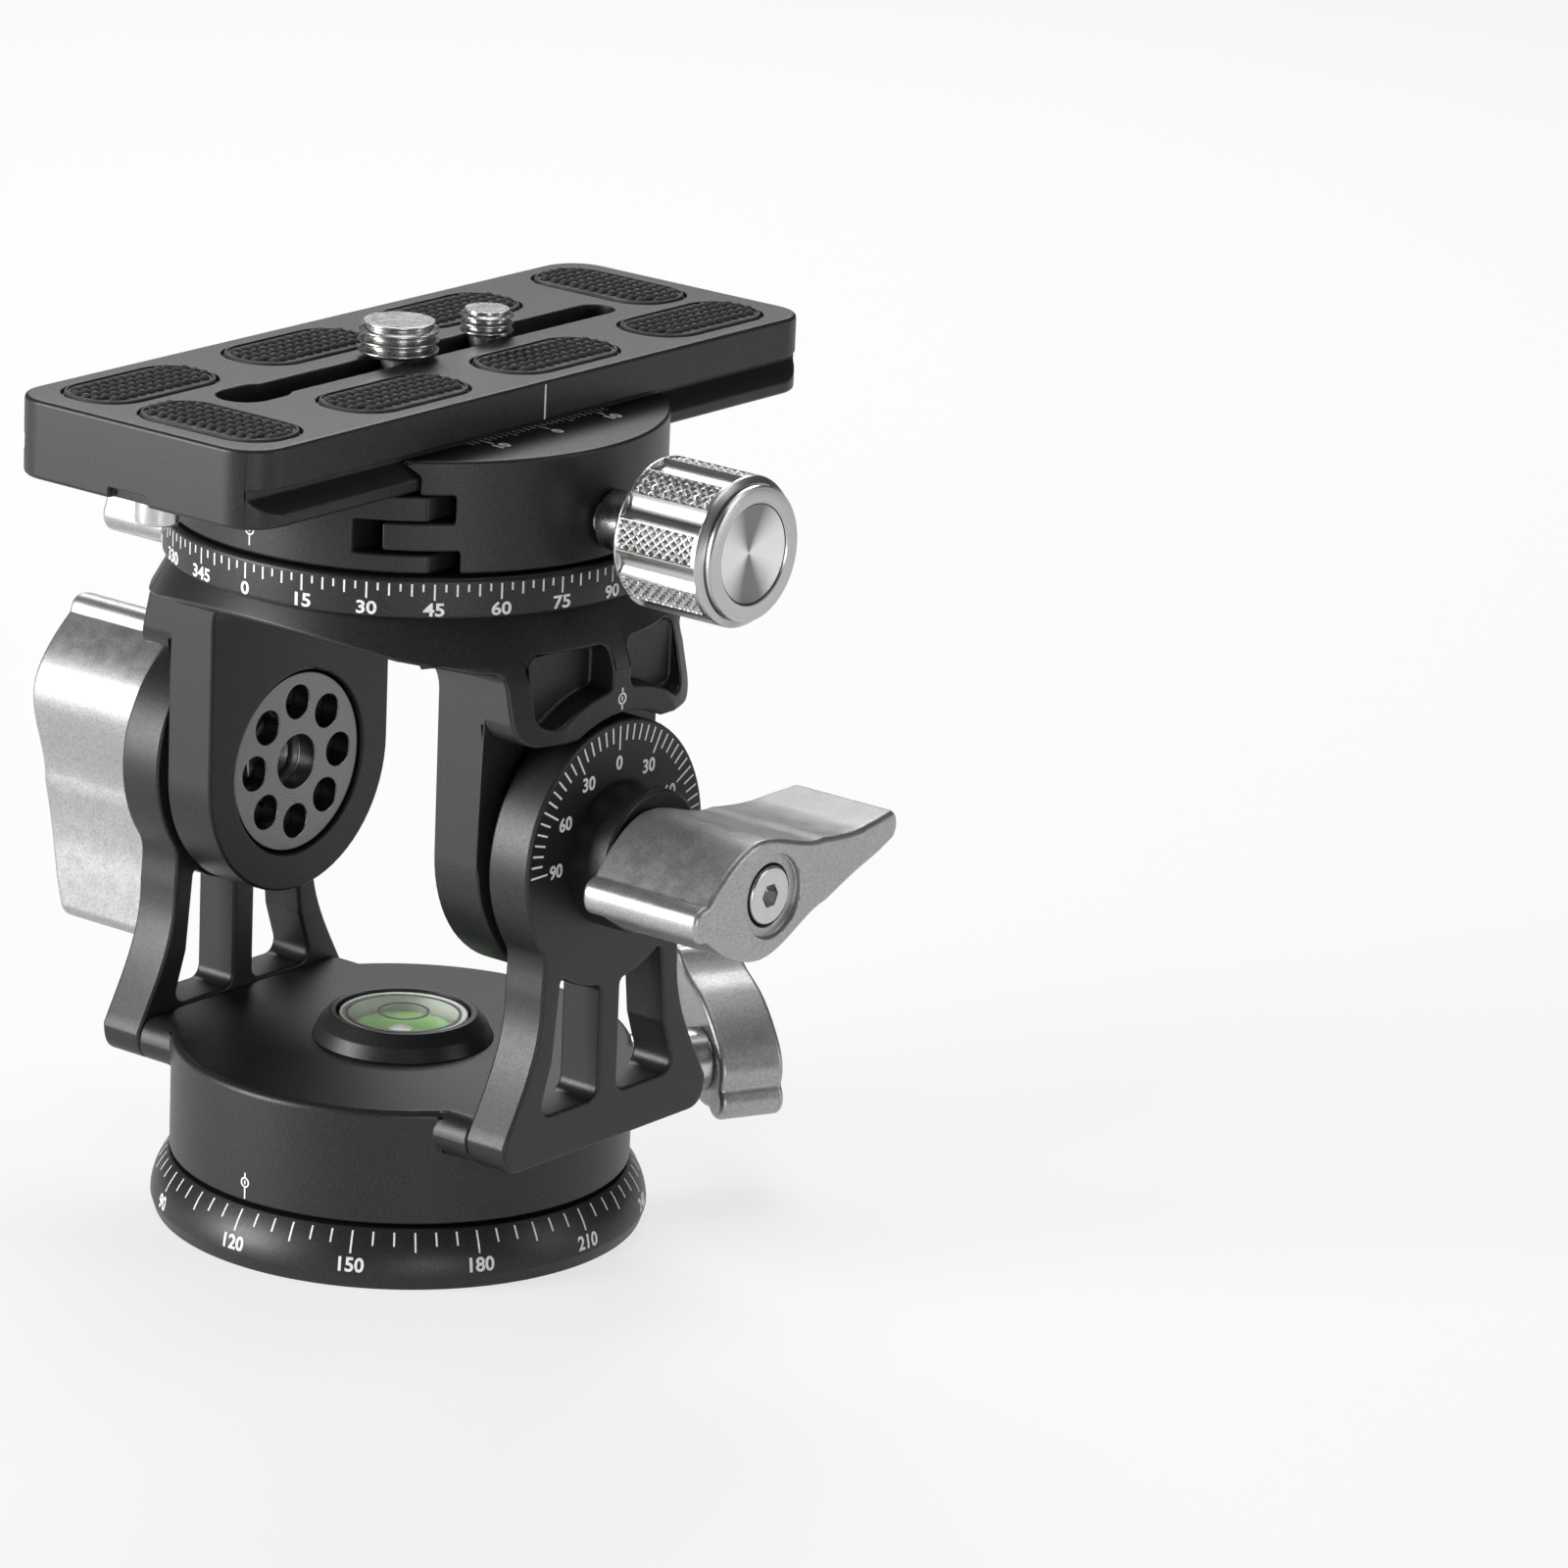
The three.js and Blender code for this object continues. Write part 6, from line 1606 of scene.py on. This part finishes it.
def makePlate():
    s = plateSizes
    length, top = s["length"], s["height"] + spare
    outline = roundedCorners(oblong(s["half"], length), s["corner"], fine["sweep"])
    out, foot = s["sideCut"]
    cutters = []
    for side in (-1, 1):
        cut = [(side * s["groove"], s["rootRise"]), (side * out, foot), (side * out, s["flange"]),
               (side * s["groove"], s["flange"])]
        cutters.append(alongY(slab(cut, -length - spare, length + spare)))
        start, end = sorted((side * (length - s["notchDepth"]), side * (length + spare)))
        cutters.append(block((-s["notch"], start, -spare), (s["notch"], end, s["notchRise"])))
        cutters.append(placed(rod(s["stopHole"], -spare, s["stopDeep"]), moved(0, side * stopSizes["at"])))
    cutters.append(slab(stadium(s["channel"], s["channelEnd"]), -spare, s["under"]))
    cutters.append(slab(stadium(s["slot"], s["slotEnd"]), s["under"] - spare, top))
    cutters.append(slab(stadium(s["key"], s["keyEnd"], s["keyMiddle"]), s["under"] - spare, top))
    for x, y, turn in padPlaces():
        recess = slab(padOutline(padSizes["room"]), padSizes["low"] - plateFoot, top)
        cutters.append(placed(recess, moved(x, y) @ turnedBy(turn)))
    body = placed(drilled(slab(outline, 0, s["height"], (), s["edge"]), *cutters), lifted(plateFoot))
    dress("plate_milled", body, "black_anodised", ["camera_plate"], bevel=s["bevel"])


def padPoints():  # small raised points in rows over the pad's field
    s = padSizes
    points, faces = [], []
    sides, rings = s["pointSides"], s["pointRings"]
    foot = s["field"] - s["pointSunk"]
    rise = s["pointTop"] - s["field"] + s["pointSunk"]
    lastRow = math.floor(s["length"] / 2 / s["pitch"])
    for row in range(-lastRow, lastRow + 1):
        v = row * s["pitch"]
        half = max(0, padHalfAt(v, -s["rim"]) - s["point"] * s["clear"])
        last = math.floor(half / s["pitch"])
        for column in range(-last, last + 1) if half > 0 else ():
            u = column * s["pitch"]
            base = len(points)
            for wide, up in rings:
                ring = circle(s["point"] * wide, sides, (u, v))
                points += [(*point, foot + rise * up) for point in ring]
            points.append((u, v, s["pointTop"]))
            tip = base + sides * len(rings)
            for low in range(base, tip - sides, sides):
                for k in range(sides):
                    n = (k + 1) % sides
                    faces.append((low + k, low + n, low + sides + n, low + sides + k))
            faces += [(tip - sides + k, tip - sides + (k + 1) % sides, tip) for k in range(sides)]
            faces.append(tuple(base + sides - 1 - k for k in range(sides)))
    return meshFrom(points, faces)


def makePads():
    s = padSizes
    body = slab(padOutline(0), s["low"], s["rimHigh"], (), s["edge"], s["edgeRounds"])
    field = slab(padOutline(-s["rim"]), s["field"], s["rimHigh"] + spare)
    parts = [drilled(body, field), padPoints()]
    for index, (x, y, turn) in enumerate(padPlaces()):
        name = "rubber_pad_" + str(index + 1)
        pad = placed(joined(*parts), moved(x, y) @ turnedBy(turn))
        dress(name + "_moulded", pad, "pad_rubber", [name], sharp=50)


stopSizes = {
    "at": 45.0, "head": 2.6, "headHeight": 3.1, "shank": 1.5, "shankLength": 5.0, "socket": 2.0,
    "socketDepth": 1.2,
}
screwSizes = {
    "large": {"at": -4.2, "thread": 4.76, "ridges": 3, "depth": 0.85, "low": 9.7, "top": 13.8, "crown": 4.5,
              "rim": 0.5, "head": 5.1, "drive": 0.7, "clip": 5.6},
    "small": {"at": 11.6, "thread": 3.175, "ridges": 3, "depth": 0.6, "low": 9.6, "top": 12.7, "crown": 2.8,
              "rim": 0.35, "head": 4.3, "drive": 0.6, "clip": 4.6},
}
screwLevels = {
    "head": 1.2, "headTop": 5.6, "neck": 2.1, "driveDepth": 1.6, "ridge": (0.1, 0.42, 0.6, 0.94),
    "ridgeRound": 0.12, "crownRound": 0.14, "clipLow": 5.8, "clipTop": 6.6, "clipHalf": 5.3,
    "clipCorner": 1.2, "clipHole": 2.4, "clipEdge": 0.12,
}


def makeCameraScrew(name):
    s, z = screwSizes[name], screwLevels
    pitch = (s["top"] - s["rim"] - s["low"]) / s["ridges"]
    root = s["thread"] - s["depth"]
    profile = [(0, z["head"], 0), (s["head"], z["head"], soft), (s["head"], z["headTop"], soft),
               (z["neck"], z["headTop"], 0), (z["neck"], s["low"], 0), (root, s["low"], hair)]
    for k in range(s["ridges"]):
        low = s["low"] + k * pitch
        foot, rise, fall, end = (low + share * pitch for share in z["ridge"])
        profile += [(root, foot, hair), (s["thread"], rise, z["ridgeRound"]),
                    (s["thread"], fall, z["ridgeRound"]), (root, end, hair)]
    profile += [(root, s["top"] - s["rim"], 0), (s["crown"], s["top"], z["crownRound"]), (0, s["top"], 0)]
    reach = s["head"] + spare
    drive = block((-reach, -s["drive"], z["head"] - spare), (reach, s["drive"], z["head"] + z["driveDepth"]))
    place = moved(0, s["at"], plateFoot)
    body = placed(drilled(lathe(profile, closed=False, rounds=fine["lip"]), drive), place)
    dress(name + "_screw_rolled", body, "chromed_steel", [name + "_screw"], sharp=40)
    outline = roundedCorners(oblong(z["clipHalf"], s["clip"]), z["clipCorner"])
    hole = circle(z["clipHole"], fine["small"])
    sheet = placed(slab(outline, z["clipLow"], z["clipTop"], (hole,), z["clipEdge"]), place)
    dress(name + "_clip_pressed", sheet, "spring_steel", [name + "_clip"])


def makePlateFittings():
    for name in screwSizes:
        makeCameraScrew(name)
    s, m = stopSizes, plateMark
    marks = newMarks()
    for side, name in ((-1, "front"), (1, "rear")):
        matrix = moved(0, side * s["at"], plateFoot) @ turnedBy(180, "X")
        screw = placed(capScrew(s, s["shankLength"]), matrix)
        dress("stop_screw_" + name + "_chromed", screw, "chromed_steel", ["stop_screw_" + name],
              bevel=bevels["stop"])
        addBar(marks, onSide(plateSizes["half"], side), -m["thick"] / 2, m["thick"] / 2,
               plateFoot + m["low"], plateFoot + m["high"])
    dressMarks("plate_marks", marks, "plate")


makePlate()
makePads()
makePlateFittings()
print("plate made")

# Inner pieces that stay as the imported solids
innerNodes = {
    "pan_thrust_washer": "slip_plastic", "pan_centre_screw": "black_steel",
    "pan_brake_shoe": "slip_plastic", "clamp_thrust_washer": "slip_plastic",
    "clamp_pivot_screw": "chromed_steel", "clamp_brake_shoe": "slip_plastic",
}
for node, slotName in innerNodes.items():
    inner = frame["nodes"][node]
    inner.data.materials.clear()
    inner.data.materials.append(paints[slotName])
print("inner pieces finished")

# Floor, lamps and camera
stageSizes = {"floor": 4.0, "glow": 0.72, "shade": (0.86, 0.86, 0.86, 1)}


def makeFloor():
    half = stageSizes["floor"]
    mesh = bpy.data.meshes.new("floor")
    corners = [(-half, -half, 0), (half, -half, 0), (half, half, 0), (-half, half, 0)]
    mesh.from_pydata(corners, [], [(0, 1, 2, 3)])
    floor = bpy.data.objects.new("floor", mesh)
    bpy.context.scene.collection.objects.link(floor)
    paint, shader = startPaint("pale floor", Roughness=0.7)
    shader.inputs["Base Color"].default_value = stageSizes["shade"]
    path = addNode(paint, "ShaderNodeLightPath")
    seen = path.outputs["Is Camera Ray"]
    for ray in ("Is Glossy Ray", "Is Transmission Ray"):
        either = addNode(paint, "ShaderNodeMath", operation="MAXIMUM")
        join(paint, seen, either.inputs[0])
        join(paint, path.outputs[ray], either.inputs[1])
        seen = either.outputs["Value"]
    share = addNode(paint, "ShaderNodeMath", operation="MULTIPLY")
    join(paint, seen, share.inputs[0])
    share.inputs[1].default_value = stageSizes["glow"]
    glow = addNode(paint, "ShaderNodeEmission", {"Color": (1, 1, 1, 1), "Strength": 1.0})
    blend = addNode(paint, "ShaderNodeMixShader")
    join(paint, share.outputs["Value"], blend.inputs["Fac"])
    join(paint, shader.outputs["BSDF"], blend.inputs[1])
    join(paint, glow.outputs["Emission"], blend.inputs[2])
    join(paint, blend.outputs["Shader"], paint.node_tree.nodes["Material Output"].inputs["Surface"])
    mesh.materials.append(paint)


worldLevel = {"light": 0.07, "seen": 1.0}


def makeWorld():
    world = bpy.data.worlds.new("pale room")
    world.use_nodes = True
    bpy.context.scene.world = world
    back = world.node_tree.nodes["Background"]
    back.inputs["Color"].default_value = (1, 1, 1, 1)
    path = addNode(world, "ShaderNodeLightPath")
    ends = {"To Min": worldLevel["light"], "To Max": worldLevel["seen"]}
    level = addNode(world, "ShaderNodeMapRange", ends)
    join(world, path.outputs["Is Camera Ray"], level.inputs["Value"])
    join(world, level.outputs["Result"], back.inputs["Strength"])


# Each lamp aims at a point at this height on the head's middle line
lampSettings = {
    "front left box": {"place": (-0.55, -0.85, 0.2), "aim": 0.05, "size": (0.42, 0.6), "power": 17.0},
    "back left box": {"place": (-0.5, 0.6, 0.75), "aim": 0.08, "size": (0.6, 0.4), "power": 6.0},
    "right edge box": {"place": (0.9, 0.45, 0.35), "aim": 0.06, "size": (0.2, 0.6), "power": 2.0},
    "front right box": {"place": (0.85, -0.6, 0.12), "aim": 0.05, "size": (0.3, 0.3), "power": 2.5},
    "top box": {"place": (0.0, 0.1, 1.1), "aim": 0.1, "size": (0.7, 0.7), "power": 3.0},
}


def makeLamps():
    for name, s in lampSettings.items():
        lamp = bpy.data.lights.new(name, "AREA")
        lamp.shape = "RECTANGLE"
        lamp.size, lamp.size_y = s["size"]
        lamp.energy = s["power"]
        holder = bpy.data.objects.new(name, lamp)
        bpy.context.scene.collection.objects.link(holder)
        holder.location = s["place"]
        aim = Vector((0, 0, s["aim"])) - Vector(s["place"])
        holder.rotation_euler = aim.to_track_quat("-Z", "Y").to_euler()


cameraSettings = {
    "place": (565.188, -656.834, 320.038), "yaw": 0.65912, "pitch": 0.29692, "roll": 0.04282,
    "focus": 7754.69, "frame": 1600, "sensor": 36.0, "clip": (0.05, 20),
}


def makeCamera():
    s = cameraSettings
    yaw, pitch, roll = s["yaw"], s["pitch"], s["roll"]
    forward = Vector((-math.sin(yaw) * math.cos(pitch), math.cos(yaw) * math.cos(pitch), -math.sin(pitch)))
    level = Vector((math.cos(yaw), math.sin(yaw), 0))
    above = level.cross(forward)
    right = math.cos(roll) * level + math.sin(roll) * above
    up = math.cos(roll) * above - math.sin(roll) * level
    lens = bpy.data.cameras.new("photo view")
    lens.sensor_width = s["sensor"]
    lens.lens = s["focus"] / s["frame"] * s["sensor"]
    lens.clip_start, lens.clip_end = s["clip"]
    camera = bpy.data.objects.new("photo view", lens)
    bpy.context.scene.collection.objects.link(camera)
    place = Vector(s["place"]) * mm
    camera.matrix_world = Matrix((
        (right.x, up.x, -forward.x, place.x), (right.y, up.y, -forward.y, place.y),
        (right.z, up.z, -forward.z, place.z), (0, 0, 0, 1),
    ))
    bpy.context.scene.camera = camera


makeFloor()
makeWorld()
makeLamps()
makeCamera()
bpy.context.scene.view_settings.view_transform = "Standard"
print("stage set")
